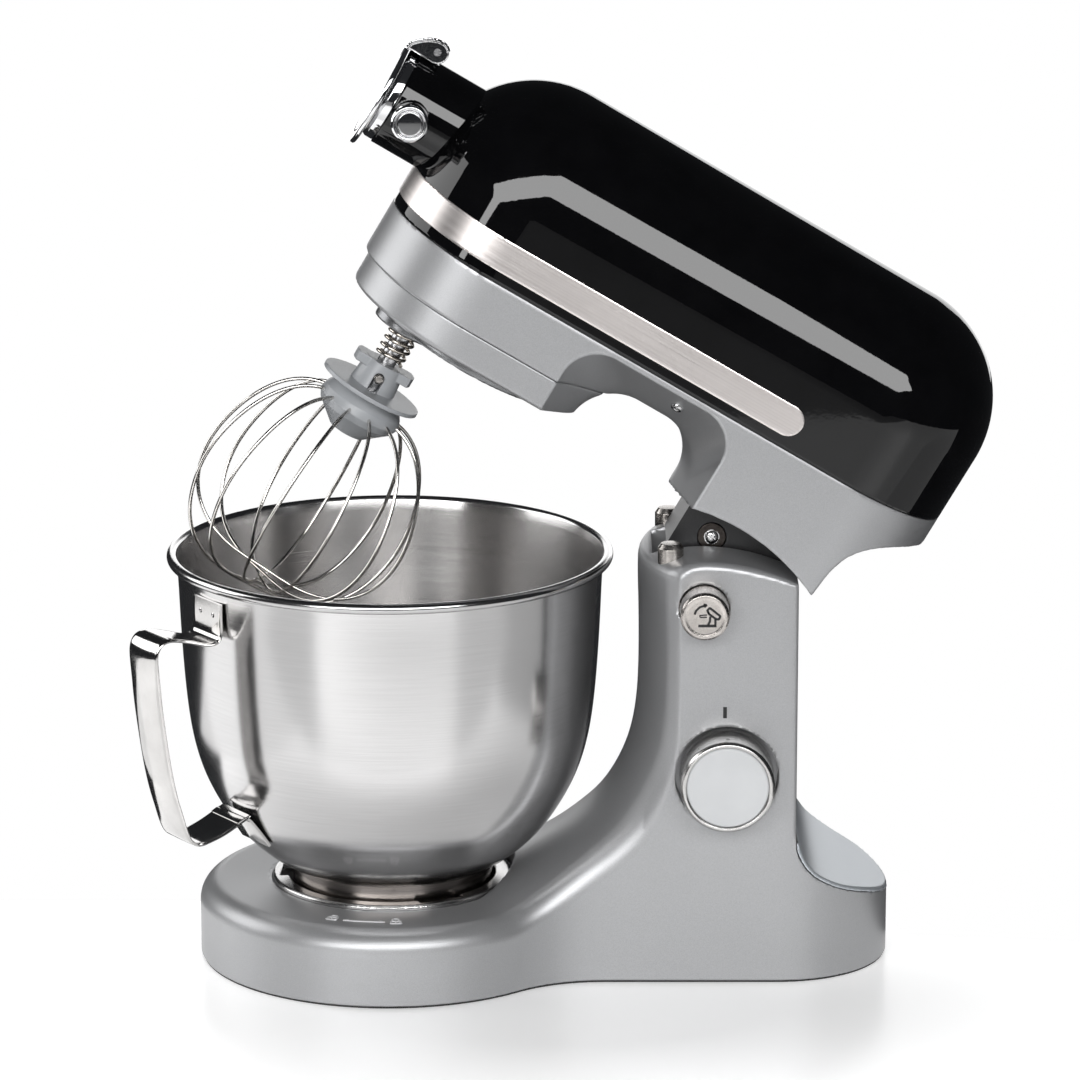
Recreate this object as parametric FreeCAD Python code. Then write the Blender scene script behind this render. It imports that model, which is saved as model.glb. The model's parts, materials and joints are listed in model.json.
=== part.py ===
import FreeCAD, Part
import math
import os

# Tilt-head stand mixer with its head raised.
# Measuring frame: bowl axis on the table, -X to the front of the head,
# +X to the rear, -Y to the control side, +Z up. Millimetres.
# Head pieces are drawn with the head closed and then turned about the
# hinge pin to the raised pose.

V = FreeCAD.Vector

# ---------------------------------------------------------------- sizes
X_OFF = 93.47           # shift that puts the origin under the middle of the mixer
TILT = 30.5             # raised angle of the head
HX, HZ = 209.0, 208.0   # hinge pin axis
ORBIT = 33.0            # tool axis to bowl axis

LOBE_R = 104.5          # front lobe of the base
SIDE_Y = 61.0           # half width of column and rear base
NECK_X = 115.0          # where the concave neck meets the straight side
REAR_CX = 208.5         # centre of the rounded rear
INLET_A = 50.0          # cord inlet round the rear, from the middle to +Y
BASE_Z0 = 2.0           # underside of the housing above the table
BASE_TOP = 42.0
WALL = 3.0
COL_BACK = 217.5
TOP_CX, TOP_CZ, TOP_R = 166.0, 120.0, 113.0   # crown of the column

SEAT_R = 65.0
BOWL_RIM_R = 120.0
WHISK_R = 61.1          # small enough to swing past the bowl wall

HEAD_X0, HEAD_X1, HEAD_R = -10.0, 200.0, 64.0  # pill-shaped head plan
HEAD_SPLIT = 283.2      # upper shell above, lower casing below
HEAD_AXIS_Z = 320.5
HEAD_WALL = 2.5
SEAM_Z = 253.5          # gear cover below this line
COVER_Z = 236.0
BAND_Z0, BAND_Z1, BAND_X1 = 289.2, 305.9, 166.5
HUB_Z = 331.3
HUB_R, HUB_BORE = 27.0, 20.0
LID_X, LID_Z = -94.5, 364.3   # pin of the hub lid

RING_N, PLANET_N, MOD = 72, 28, 1.5
PULLEY_BIG, PULLEY_SMALL, MOTOR_X = 42.0, 12.0, 165.0
BELT_Z0, BELT_Z1 = 284.5, 291.5

os.makedirs("parts", exist_ok=True)


# ---------------------------------------------------------------- helpers
def cyl(r, p, d, h):
    return Part.makeCylinder(r, h, V(*p), V(*d))


def tube(ro, ri, p, d, h):
    return cyl(ro, p, d, h).cut(cyl(ri, p, d, h))


def box(x0, x1, y0, y1, z0, z1):
    return Part.makeBox(x1 - x0, y1 - y0, z1 - z0, V(x0, y0, z0))


def fuse(shapes):
    s = shapes[0].multiFuse(shapes[1:]) if len(shapes) > 1 else shapes[0]
    return s.removeSplitter()


def prism_xz(pts, y0, y1):
    w = Part.makePolygon([V(x, y0, z) for x, z in pts] + [V(pts[0][0], y0, pts[0][1])])
    return Part.Face(w).extrude(V(0, y1 - y0, 0))


def prism_xy(pts, z0, z1):
    w = Part.makePolygon([V(x, y, z0) for x, y in pts] + [V(pts[0][0], pts[0][1], z0)])
    return Part.Face(w).extrude(V(0, 0, z1 - z0))


def revolve(pts, cx=0.0, cy=0.0):
    w = Part.makePolygon([V(cx + r, cy, z) for r, z in pts] + [V(cx + pts[0][0], cy, pts[0][1])])
    return Part.Face(w).revolve(V(cx, cy, 0), V(0, 0, 1), 360)


def arc(a, b, c):
    return Part.Arc(V(*a), V(*b), V(*c)).toShape()


def line(a, b):
    return Part.makeLine(V(*a), V(*b))


def stadium(x0, x1, r, z0, z1):
    w = Part.Wire([line((x0, -r, z0), (x1, -r, z0)),
                   arc((x1, -r, z0), (x1 + r, 0, z0), (x1, r, z0)),
                   line((x1, r, z0), (x0, r, z0)),
                   arc((x0, r, z0), (x0 - r, 0, z0), (x0, -r, z0))])
    return Part.Face(w).extrude(V(0, 0, z1 - z0))


def capsule_top(x0, x1, r, z):
    c = cyl(r, (x0, 0, z), (1, 0, 0), x1 - x0)
    a = Part.makeSphere(r, V(x0, 0, z))
    b = Part.makeSphere(r, V(x1, 0, z))
    s = fuse([c, a, b])
    return s.common(box(x0 - r - 5, x1 + r + 5, -r - 5, r + 5, z, z + r + 5))


def gear_pts(n, m, add, ded, thin, steps=5):
    # involute outline; thin takes metal off each flank at the pitch circle
    rp = n * m / 2.0
    al = math.radians(20)
    rb = rp * math.cos(al)
    ra, rf = rp + add, rp - ded
    half = math.pi / (2 * n) - thin / rp
    inv = lambda r: math.tan(math.acos(min(1.0, rb / r))) - math.acos(min(1.0, rb / r))
    pts = []
    r0 = max(rb, rf)
    for k in range(n):
        c = 2 * math.pi * k / n
        fl = []
        for i in range(steps):
            r = r0 + (ra - r0) * i / (steps - 1)
            fl.append((r, half + inv(rp) - inv(r)))
        if rf < rb:
            fl.insert(0, (rf, fl[0][1]))
        pts += [(r * math.cos(c - a), r * math.sin(c - a)) for r, a in fl]
        pts += [(r * math.cos(c + a), r * math.sin(c + a)) for r, a in reversed(fl)]
    return pts


def gear(n, m, z0, z1, cx=0.0, cy=0.0, add=None, ded=None, thin=0.06):
    p = gear_pts(n, m, m if add is None else add, 1.25 * m if ded is None else ded, thin)
    return prism_xy([(cx + x, cy + y) for x, y in p], z0, z1)


def spring(radius, wire, pitch, height):
    # coil of short straight lengths, twelve-sided wire of the round wire's area
    n = int(round(16 * height / pitch))
    pts = []
    for i in range(n + 1):
        a = 2 * math.pi * height / pitch * i / n
        pts.append(V(radius * math.cos(a), radius * math.sin(a), height * i / n))
    t = (pts[1] - pts[0]).normalize()
    u = (V(1, 0, 0) - t * t.x).normalize()
    v = t.cross(u)
    r = wire * math.sqrt(math.pi / 3)
    sec = [pts[0] + u * (r * math.cos(math.pi * k / 6)) + v * (r * math.sin(math.pi * k / 6)) for k in range(12)]
    s = Part.makePolygon(pts).makePipeShell([Part.makePolygon(sec + [sec[0]])], True, False, 1)
    return s if s.ShapeType == "Solid" else Part.Solid(Part.Shell(s.Faces))


def solids(shapes):
    return Part.makeCompound(shapes)


nodes = {}


# ---------------------------------------------------------------- base
def base_wire(o, z):
    w = SIDE_Y - o
    rc0 = (NECK_X ** 2 + SIDE_Y ** 2 - LOBE_R ** 2) / (2 * (LOBE_R - SIDE_Y))
    cy = SIDE_Y + rc0
    rc = rc0 + o
    d = math.hypot(NECK_X, cy)
    ux, uy = NECK_X / d, cy / d
    r = LOBE_R - o
    tx, ty = r * ux, r * uy
    mx, my = -ux, -uy - 1.0
    ml = math.hypot(mx, my)
    mx, my = mx / ml, my / ml
    px, py = NECK_X + rc * mx, cy + rc * my
    return Part.Wire([
        line((NECK_X, -w, z), (REAR_CX, -w, z)),
        arc((REAR_CX, -w, z), (REAR_CX + w, 0, z), (REAR_CX, w, z)),
        line((REAR_CX, w, z), (NECK_X, w, z)),
        arc((NECK_X, w, z), (px, py, z), (tx, ty, z)),
        arc((tx, ty, z), (-r, 0, z), (tx, -ty, z)),
        arc((tx, -ty, z), (px, -py, z), (NECK_X, -w, z))])


def foot(o, z0, top):
    a = Part.Face(base_wire(o, z0)).extrude(V(0, 0, top - 12 - z0))
    b = Part.makeLoft([base_wire(o, top - 12), base_wire(o + 3.5, top - 3.5)], True, True)
    c = Part.makeLoft([base_wire(o + 3.5, top - 3.5), base_wire(o + 12, top)], True, True)
    return fuse([a, b, c])


# front of the column against height
SWEEP = [(26, 54), (42, 60), (51, 67), (60, 80), (71, 95), (85, 109.5), (100, 120),
         (120, 128.5), (144, 132.8), (170, 133.8), (208, 133.4), (240, 133.0)]


def column_wire(o, z, xf):
    R, w, r = 110.0, SIDE_Y - o, 10.0 - o
    lo, hi = 20.0, w
    for _ in range(60):
        yt = 0.5 * (lo + hi)
        ph = math.pi / 2 - math.asin(yt / R)
        if yt + r * (1 - math.cos(ph)) < w:
            lo = yt
        else:
            hi = yt
    a = math.asin(yt / R)
    ph = math.pi / 2 - a
    xf = xf + o
    xt = xf + R - math.sqrt(R * R - yt * yt)
    xc = xt + r * math.sin(ph)
    cx, cy = xc, w - r
    # middle of the corner arc, seen from its centre
    a0 = math.atan2(yt - cy, xt - cx)
    a1 = math.pi / 2
    am = 0.5 * (a0 + a1)
    mx, my = cx + r * math.cos(am), cy + r * math.sin(am)
    xb = COL_BACK - o
    return Part.Wire([
        line((xb, -w, z), (xc, -w, z)),
        arc((xc, -w, z), (mx, -my, z), (xt, -yt, z)),
        arc((xt, -yt, z), (xf, 0, z), (xt, yt, z)),
        arc((xt, yt, z), (mx, my, z), (xc, w, z)),
        line((xc, w, z), (xb, w, z)),
        line((xb, w, z), (xb, -w, z))])


def column(o, zmin):
    ws = [column_wire(o, max(z, zmin) if i == 0 else z, xf) for i, (z, xf) in enumerate(SWEEP)]
    return Part.makeLoft(ws, True, False)


def crown_cut(r):
    b = box(90, 262, -90, 90, TOP_CZ, 320)
    return b.cut(cyl(r, (TOP_CX, -95, TOP_CZ), (0, 1, 0), 190))


DECK = [(205, 112), (212, 96), (217.5, 84), (222, 69), (228, 61), (236, 55.3),
        (246, 50.3), (256, 46.3), (264, 42.3), (275, 36.5)]


def rear_block(o):
    c = Part.BSplineCurve()
    c.interpolate([V(x - 0.35 * o, -80, z - 0.95 * o) for x, z in DECK])
    e = c.toShape()
    p0, p1 = e.Vertexes[0].Point, e.Vertexes[-1].Point
    z0 = BASE_Z0 if o == 0 else -1.0
    w = Part.Wire([e, Part.makeLine(p1, V(p1.x, -80, z0)), Part.makeLine(V(p1.x, -80, z0), V(p0.x, -80, z0)),
                   Part.makeLine(V(p0.x, -80, z0), p0)])
    s = Part.Face(w).extrude(V(0, 160, 0))
    return s.common(Part.Face(base_wire(o, z0)).extrude(V(0, 0, 120)))


outer = fuse([foot(0, BASE_Z0, BASE_TOP), column(0, 26), rear_block(0)]).cut(crown_cut(TOP_R))
hollow = fuse([foot(WALL, -1.0, BASE_TOP - WALL), column(WALL, 26), rear_block(WALL)]).cut(crown_cut(TOP_R - WALL))
seat_boss = cyl(64.0, (0, 0, 33), (0, 0, 1), BASE_TOP - 33)

# rear cover: the sloping deck and the panel up the back of the column
deck_zone = box(COL_BACK, 290, -80, 80, 20, 110).cut(rear_block(WALL).fuse(
    box(COL_BACK - 1, 290, -80, 80, 0, 37.0)))
panel_zone = box(COL_BACK - WALL - 0.01, COL_BACK + 0.5, -46, 46, 78, 190)
shell = outer.cut(hollow)
rear_cover = fuse([shell.common(deck_zone), shell.common(panel_zone)])
if len(rear_cover.Solids) > 1:
    rear_cover = max(rear_cover.Solids, key=lambda s: s.Volume)
housing = shell.cut(rear_cover)

BOSS = [(-84, 0), (18, 84), (18, -84), (128, 48), (128, -48), (240, 22), (240, -22)]
posts = [cyl(5, (x, y, 4.5), (0, 0, 1), 33) for x, y in BOSS[:5]] + \
        [cyl(5, (x, y, 4.5), (0, 0, 1), 20) for x, y in BOSS[5:]]
ribs = [box(x, x + 30, y - 1.5, y + 1.5, 6, 16) for x, y in ((236, 22), (236, -22))]
ribs = [r.common(Part.Face(base_wire(0.5, 0)).extrude(V(0, 0, 40))) for r in ribs]

webs = []
for s in (-1, 1):
    y0, y1 = (24.0, 30.0) if s > 0 else (-30.0, -24.0)
    w = prism_xz([(146, 176), (COL_BACK - 3.3, 176), (COL_BACK - 3.3, 191), (COL_BACK - 1.0, 191), (COL_BACK - 1.0, 240), (146, 240)],
                 y0, y1)
    webs.append(w.cut(crown_cut(TOP_R - 1.5)))
guide = cyl(8.5, (167.4, -38, 208), (0, 1, 0), 10)
pin_boss = [cyl(9.5, (150, y, 214), (0, 0, 1), 30).cut(crown_cut(TOP_R - 1.0)) for y in (-39, 39)]
pcb_posts = [cyl(3, (x, 42, z), (0, 1, 0), 17) for x in (156, 200) for z in (78, 152)]
pot_posts = [cyl(3.5, (180, -59.5, z), (0, 1, 0), 25.5) for z in (81.5, 149.5)]

housing = fuse([housing, seat_boss] + posts + ribs + webs + [guide] + pin_boss + pcb_posts + pot_posts)
for c in [cyl(60.5, (0, 0, 36), (0, 0, 1), 40),                       # well for the bowl foot
          cyl(SEAT_R, (0, 0, 40.5), (0, 0, 1), 6),                    # seat of the ring
          cyl(SEAT_R + 1.0, (0, 0, BASE_TOP), (0, 0, 1), 60),
          box(140.5, 240, -23.5, 23.5, 197, 260),                     # slot for the hinge tongue
          cyl(27.6, (180, -70, 115.5), (0, 1, 0), 14),                # dial opening
          cyl(13.3, (167.4, -70, 208), (0, 1, 0), 14),                # button opening
          cyl(3.05, (167.4, -45, 208), (0, 1, 0), 25),                # stem guide
          cyl(5.0, (HX, -35, HZ), (0, 1, 0), 70),                     # hinge pin bores
          cyl(6.9, (150, -39, 220), (0, 0, 1), 40),
          cyl(6.9, (150, 39, 220), (0, 0, 1), 40)]:
    housing = housing.cut(c)
inlet = cyl(7.0, (255, 0, 20), (1, 0, 0), 30)                         # cord inlet
inlet.rotate(V(REAR_CX, 0, 0), V(0, 0, 1), INLET_A)
housing = housing.cut(inlet)
for x, y in BOSS:
    housing = housing.cut(cyl(1.8, (x, y, 0), (0, 0, 1), 14))
housing = max(housing.Solids, key=lambda s: s.Volume)
nodes["base_housing"] = housing
nodes["rear_cover"] = rear_cover

FEET = [(-60, 60), (-60, -60), (226, 34), (226, -34)]
plate = Part.Face(base_wire(WALL + 0.3, BASE_Z0)).extrude(V(0, 0, 2.5))
for x, y in FEET:
    plate = plate.cut(cyl(4.0, (x, y, 0), (0, 0, 1), 9))
for x, y in BOSS:
    plate = plate.cut(cyl(2.0, (x, y, 0), (0, 0, 1), 9))
for i in range(9):
    plate = plate.cut(box(146 + 7 * i, 149 + 7 * i, -18, 18, 0, 9))   # cooling slots
nodes["base_plate"] = plate
nodes["rubber_feet"] = solids([fuse([cyl(11, (x, y, 0), (0, 0, 1), 2.0), cyl(4.0, (x, y, 1.5), (0, 0, 1), 5.0)])
                               for x, y in FEET])
nodes["base_screws"] = solids([fuse([cyl(3.6, (x, y, 0.6), (0, 0, 1), 1.4), cyl(1.8, (x, y, 1.5), (0, 0, 1), 12)]).cut(
    box(x - 2.6, x + 2.6, y - 0.4, y + 0.4, 0, 1.2)) for x, y in BOSS])

# bowl seat ring with three bayonet notches
ring = revolve([(56, 40.5), (65, 40.5), (65, 42.6), (63.2, 44.5), (57.2, 44.5), (56, 43.4)])
LUG_A = [30, 150, 270]
for a in LUG_A:
    n = box(54, 60.2, -12.5, 12.5, 38, 48)
    n.rotate(V(0, 0, 0), V(0, 0, 1), a + 28)
    ring = ring.cut(n)
nodes["bowl_seat_ring"] = ring

pins = []
for y in (-39, 39):
    pins.append(revolve([(0, 221), (6.9, 221), (6.9, 236.0), (5.0, 238.4), (0, 238.4)], 150, y))
nodes["alignment_pins"] = solids(pins)
nodes["hinge_pin"] = cyl(5.0, (HX, -30.4, HZ), (0, 1, 0), 60.8)

pcb = fuse([box(150, 206, 40.4, 42, 70, 160),
            box(156, 176, 27, 40.4, 100, 122), cyl(8, (190, 24, 140), (0, 1, 0), 16.4),
            cyl(6, (190, 24, 118), (0, 1, 0), 16.4), box(184, 202, 30, 40.4, 78, 92),
            box(154, 170, 32, 40.4, 132, 150)])
nodes["control_board"] = pcb
pot = fuse([cyl(12, (180, -46, 115.5), (0, 1, 0), 12), box(173, 187, -34, -31.5, 77, 154)])
pot = pot.cut(cyl(3.05, (180, -50, 115.5), (0, 1, 0), 12))
nodes["speed_potentiometer"] = pot

gland = fuse([cyl(9.5, (269.6, 0, 20), (1, 0, 0), 3.0), cyl(7.0, (260, 0, 20), (1, 0, 0), 10),
              cyl(9.0, (262.0, 0, 20), (1, 0, 0), 2.0)]).cut(cyl(3.6, (250, 0, 20), (1, 0, 0), 40))
gland.rotate(V(REAR_CX, 0, 0), V(0, 0, 1), INLET_A)
nodes["cord_gland"] = gland
tb = box(206, 222, -16, 16, 4.5, 20)
for y in (-10, 0, 10):
    tb = tb.cut(cyl(3.0, (214, y, 13), (0, 0, 1), 10))
nodes["terminal_block"] = tb

# ---------------------------------------------------------------- dial
kx, kz = 180.0, 115.5
knob = fuse([cyl(25, (kx, -82, kz), (0, 1, 0), 27).cut(cyl(21.5, (kx, -78.5, kz), (0, 1, 0), 30)),
             cyl(7, (kx, -79, kz), (0, 1, 0), 21)])
knob = knob.cut(cyl(22.0, (kx, -83, kz), (0, 1, 0), 2.4)).cut(cyl(3.0, (kx, -76, kz), (0, 1, 0), 40))
nodes["speed_knob"] = knob
nodes["knob_cap"] = cyl(21.9, (kx, -82.3, kz), (0, 1, 0), 1.7)
nodes["dial_shaft"] = cyl(3.0, (kx, -76, kz), (0, 1, 0), 37)

# ---------------------------------------------------------------- tilt button
bx, bz = 167.4, 208.0
button = fuse([cyl(13, (bx, -78, bz), (0, 1, 0), 24), cyl(14.6, (bx, -55.5, bz), (0, 1, 0), 2.4)])
button = button.cut(cyl(3.0, (bx, -66, bz), (0, 1, 0), 20))
e = [x for x in button.Edges if abs(x.BoundBox.YMin + 78) < 1e-3 and abs(x.BoundBox.YMax + 78) < 1e-3]
nodes["tilt_button"] = button.makeFillet(1.6, e)
nodes["button_stem"] = cyl(3.0, (bx, -66, bz), (0, 1, 0), 35)
sp = spring(6.4, 0.7, 3.3, 13.4)
sp.rotate(V(0, 0, 0), V(1, 0, 0), -90)
sp.translate(V(bx, -52.3, bz))
nodes["button_spring"] = sp

# ---------------------------------------------------------------- bowl
PROF = [(40, 49.5), (52, 50.9), (62, 55.3), (72, 62.5), (83, 73.5), (93, 88), (101, 104), (106.5, 122),
        (110, 145), (112, 170), (113.3, 195), (114.2, 214), (114.8, 222)]


def offset_prof(p, d):
    out = []
    for i, (r, z) in enumerate(p):
        a = p[max(0, i - 1)]
        b = p[min(len(p) - 1, i + 1)]
        tr, tz = b[0] - a[0], b[1] - a[1]
        l = math.hypot(tr, tz)
        out.append((r - d * tz / l, z + d * tr / l))
    out[0] = (p[0][0], p[0][1] + d)
    return out


def spline_face(outer_p, inner_p):
    co = Part.BSplineCurve()
    co.interpolate([V(r, 0, z) for r, z in outer_p])
    ci = Part.BSplineCurve()
    ci.interpolate([V(r, 0, z) for r, z in inner_p])
    eo, ei = co.toShape(), ci.toShape()
    a0, a1 = V(outer_p[0][0], 0, outer_p[0][1]), V(outer_p[-1][0], 0, outer_p[-1][1])
    b0, b1 = V(inner_p[0][0], 0, inner_p[0][1]), V(inner_p[-1][0], 0, inner_p[-1][1])
    z_o, z_i = outer_p[0][1], inner_p[0][1]
    return Part.Face(Part.Wire([eo, Part.makeLine(a1, b1), ei, Part.makeLine(b0, V(0, 0, z_i)),
                                Part.makeLine(V(0, 0, z_i), V(0, 0, z_o)), Part.makeLine(V(0, 0, z_o), a0)]))


INNER = offset_prof(PROF, 1.0)
bowl = spline_face(PROF, INNER).revolve(V(0, 0, 0), V(0, 0, 1), 360)
bead = Part.makeTorus(117.2, 2.8, V(0, 0, 222.9), V(0, 0, 1))
bowl = fuse([bowl, bead])
nodes["bowl_shell"] = bowl
co = Part.BSplineCurve()
co.interpolate([V(r, 0, z) for r, z in PROF])
eo = co.toShape()
bowl_full = Part.Face(Part.Wire([eo, Part.makeLine(V(114.8, 0, 222), V(0, 0, 222)),
                                 Part.makeLine(V(0, 0, 222), V(0, 0, 49.5)),
                                 Part.makeLine(V(0, 0, 49.5), V(40, 0, 49.5))])).revolve(V(0, 0, 0), V(0, 0, 1), 360)
bowl_full = bowl_full.fuse(bead)

fr = revolve([(50.5, 36.6), (54.5, 36.6), (54.5, 56), (50.5, 56)])
for a in LUG_A:
    lug = tube(59.0, 54.0, (0, 0, 36.6), (0, 0, 1), 3.4).common(box(40, 70, -9, 9, 30, 50))
    lug.rotate(V(0, 0, 0), V(0, 0, 1), a)
    fr = fr.fuse(lug)
fr = fr.removeSplitter().cut(bowl_full)
nodes["bowl_foot_ring"] = max(fr.Solids, key=lambda s: s.Volume)

HPATH = [(115.4, 215), (115.5, 205), (117.2, 201.0), (121.5, 199.4), (130, 199.2), (140, 199.9), (147.5, 200.0),
         (152.0, 198.4), (154.8, 194.4), (156, 187), (156, 177), (154.8, 162), (152.2, 143), (148.4, 121),
         (143.6, 103.5), (138.6, 92), (134.6, 86.9), (130.6, 85.2), (125, 85.8), (116, 88.2), (107, 92), (98, 96)]


def strip(path, t):
    up, dn = [], []
    for i, (r, z) in enumerate(path):
        a, b = path[max(0, i - 1)], path[min(len(path) - 1, i + 1)]
        tr, tz = b[0] - a[0], b[1] - a[1]
        l = math.hypot(tr, tz)
        up.append((r + t * tz / l, z - t * tr / l))
        dn.append((r - t * tz / l, z + t * tr / l))
    return up + dn[::-1]


handle = prism_xz(strip(HPATH, 0.9), -12, 12)
lower_tab = prism_xz([(108, 93), (99, 96), (90, 84), (84, 76), (89.2, 75.5), (97, 86), (104, 90)], -12, 12)
handle = fuse([handle, lower_tab])
handle.rotate(V(0, 0, 0), V(0, 0, 1), 215)
handle = handle.cut(bowl_full)
nodes["bowl_handle"] = max(handle.Solids, key=lambda s: s.Volume)

# ---------------------------------------------------------------- head (drawn closed)
head = {}
up_out = fuse([stadium(HEAD_X0, HEAD_X1, HEAD_R, HEAD_SPLIT, HEAD_AXIS_Z), capsule_top(HEAD_X0, HEAD_X1, HEAD_R, HEAD_AXIS_Z)])
ri = HEAD_R - HEAD_WALL
up_in = fuse([stadium(HEAD_X0, HEAD_X1, ri, HEAD_SPLIT - 1, HEAD_AXIS_Z), capsule_top(HEAD_X0, HEAD_X1, ri, HEAD_AXIS_Z)])
upper = up_out.cut(up_in)
band_zone = fuse([box(-90, BAND_X1 - 8.35, -80, 80, BAND_Z0, BAND_Z1),
                  cyl(8.35, (BAND_X1 - 8.35, -80, 0.5 * (BAND_Z0 + BAND_Z1)), (0, 1, 0), 160)])
groove = stadium(HEAD_X0, HEAD_X1, HEAD_R + 2, 280, 310).cut(stadium(HEAD_X0, HEAD_X1, HEAD_R - 0.9, 279, 311)).common(band_zone)
upper = upper.cut(groove).cut(cyl(HUB_R, (-110, 0, HUB_Z), (1, 0, 0), 90))
head["head_upper_shell"] = max(upper.Solids, key=lambda s: s.Volume)
band = stadium(HEAD_X0, HEAD_X1, HEAD_R + 0.2, BAND_Z0, BAND_Z1).cut(
    stadium(HEAD_X0, HEAD_X1, HEAD_R - 0.9, BAND_Z0 - 1, BAND_Z1 + 1)).common(band_zone)
band = band.cut(cyl(HUB_R, (-110, 0, HUB_Z), (1, 0, 0), 90))
head["trim_band"] = max(band.Solids, key=lambda s: s.Volume)


def arch_wire(y, x0, x1, zt, r, zb=190.0):
    k = r * (1 - math.sqrt(0.5))
    return Part.Wire([line((x0, y, zb), (x0, y, zt - r)),
                      arc((x0, y, zt - r), (x0 + k, y, zt - k), (x0 + r, y, zt)),
                      line((x0 + r, y, zt), (x1 - r, y, zt)),
                      arc((x1 - r, y, zt), (x1 - k, y, zt - k), (x1, y, zt - r)),
                      line((x1, y, zt - r), (x1, y, zb)),
                      line((x1, y, zb), (x0, y, zb))])


def throat(g):
    # arch between gear head and hinge part, splayed towards both sides
    wo = lambda y: arch_wire(y, 42.8 - g, 139.7 + g, 280.0 + g, 18.0 + g)
    wi = lambda y: arch_wire(y, 65.0 - g, 127.5 + g, 262.0 + g, 16.0 + g)
    a = Part.makeLoft([wo(-66), wi(-30)], True, True)
    b = Part.Face(wi(-30)).extrude(V(0, 60, 0))
    c = Part.makeLoft([wi(30), wo(66)], True, True)
    return fuse([a, b, c])


T0, T3 = throat(0.0), throat(3.0)
CR = TOP_R + 1.3


def crown_z(x, r):
    return TOP_CZ + math.sqrt(r * r - (x - TOP_CX) ** 2)


UNDER = [(218.2, 221.5), (219, 230), (220.5, 239), (223.5, 247.5), (229, 254.5), (240, 261.5), (253, 265.6), (270, 267.8)]


def low_profile(o):
    n = 24
    p = [(-90, 284 if o else HEAD_SPLIT), (-90, SEAM_Z - (1 if o else 0)), (96, SEAM_Z - (1 if o else 0)), (96, 190), (126, 190)]
    x0, x1 = 126.0, 218.2 - 1.2 * o
    r = CR + o
    p += [(x0 + (x1 - x0) * i / n, crown_z(x0 + (x1 - x0) * i / n, r)) for i in range(n + 1)]
    for x, z in UNDER[1:]:
        p.append((x - 0.9 * o, z + 0.45 * o) if z < 250 else (x - 0.5 * o, z + 0.95 * o))
    p.append((p[-1][0], 284 if o else HEAD_SPLIT))
    return p


low_out = stadium(HEAD_X0, HEAD_X1, HEAD_R, 190, HEAD_SPLIT).common(prism_xz(low_profile(0), -90, 90)).cut(T0)
low_in = stadium(HEAD_X0, HEAD_X1, HEAD_R - WALL, 185, 290).common(prism_xz(low_profile(WALL), -90, 90)).cut(T3)
lower = low_out.cut(low_in)
stands = [(172, 50), (172, -50), (206, 46), (206, -46)]
lower = fuse([lower] + [cyl(4.5, (x, y, 232), (0, 0, 1), 64)
                        for x, y in stands])
below = cyl(CR, (TOP_CX, -95, TOP_CZ), (0, 1, 0), 190)
lower = lower.cut(below)
for y in (-39, 39):
    lower = lower.cut(fuse([cyl(8.2, (150, y, 220), (0, 0, 1), 22), cyl(8.2, (145.5, y, 220), (0, 0, 1), 22),
                            box(145.5, 150, y - 8.2, y + 8.2, 220, 242)]))
lower = max(lower.Solids, key=lambda s: s.Volume)
head["head_lower_casing"] = lower

cover = stadium(HEAD_X0, HEAD_X1, HEAD_R - 0.3, COVER_Z, SEAM_Z).common(box(-90, 70, -80, 80, 200, 300)).cut(T0)
cover = cover.cut(stadium(HEAD_X0, HEAD_X1, HEAD_R - WALL - 0.3, COVER_Z + 2.5, SEAM_Z + 1).cut(T3))
cover = cover.cut(cyl(46.0, (0, 0, 230), (0, 0, 1), 12))
head["gear_cover"] = max(cover.Solids, key=lambda s: s.Volume)

# hinge tongue under the lower casing
tong = prism_xz([(143.5, 240), (143.5, 199), (149, 193), (168, 193), (198, 202), (204, 201.1), (209, 199.6), (214, 201.1),
                 (216.9, 205), (217.5, 208), (216.9, 211), (214.5, 215), (212, 221), (212, 240)], -21, 21).common(below)
tong = tong.cut(cyl(7.0, (HX, -30, HZ), (0, 1, 0), 60))
tong = tong.cut(cyl(8.0, (162.5, -22, 214.5), (0, 1, 0), 3.0))
tong = tong.cut(cyl(2.5, (162.5, -22, 214.5), (0, 1, 0), 14.0))
head["hinge_tongue"] = max(tong.Solids, key=lambda s: s.Volume)
head["hinge_bushes"] = solids([tube(7.0, 5.05, (HX, -21, HZ), (0, 1, 0), 15), tube(7.0, 5.05, (HX, 6, HZ), (0, 1, 0), 15)])
bolt = fuse([cyl(7.6, (162.5, -21.4, 214.5), (0, 1, 0), 2.4), cyl(2.5, (162.5, -20, 214.5), (0, 1, 0), 11),
             cyl(3.6, (162.5, -22.6, 214.5), (0, 1, 0), 1.6)])
bolt = bolt.cut(box(162.1, 162.9, -24, -22.0, 212, 217)).cut(box(160, 165, -24, -22.0, 214.1, 214.9))
head["tongue_bolt"] = bolt

# gearbox
pillars = [(-36, 36), (-36, -36), (30, 54), (30, -54)]
fplate = stadium(HEAD_X0, HEAD_X1, 60.7, 264, 268).common(box(-80, 58, -70, 70, 200, 300))
frame = fuse([fplate, cyl(16, (0, 0, 264), (0, 0, 1), 10)] + [cyl(4.5, (x, y, 266), (0, 0, 1), 34) for x, y in pillars])
frame = frame.cut(T3).cut(cyl(12.0, (0, 0, 260), (0, 0, 1), 20))
head["gearbox_frame"] = max(frame.Solids, key=lambda s: s.Volume)
bridge = prism_xy([(-44, 42), (-44, -42), (24, -60), (38, -58), (38, 58), (24, 60)], 300, 304).common(
    stadium(HEAD_X0, HEAD_X1, 61.2, 299, 305))
bridge = fuse([bridge, cyl(16, (0, 0, 300), (0, 0, 1), 7)]).cut(cyl(12.0, (0, 0, 299), (0, 0, 1), 10))
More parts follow.
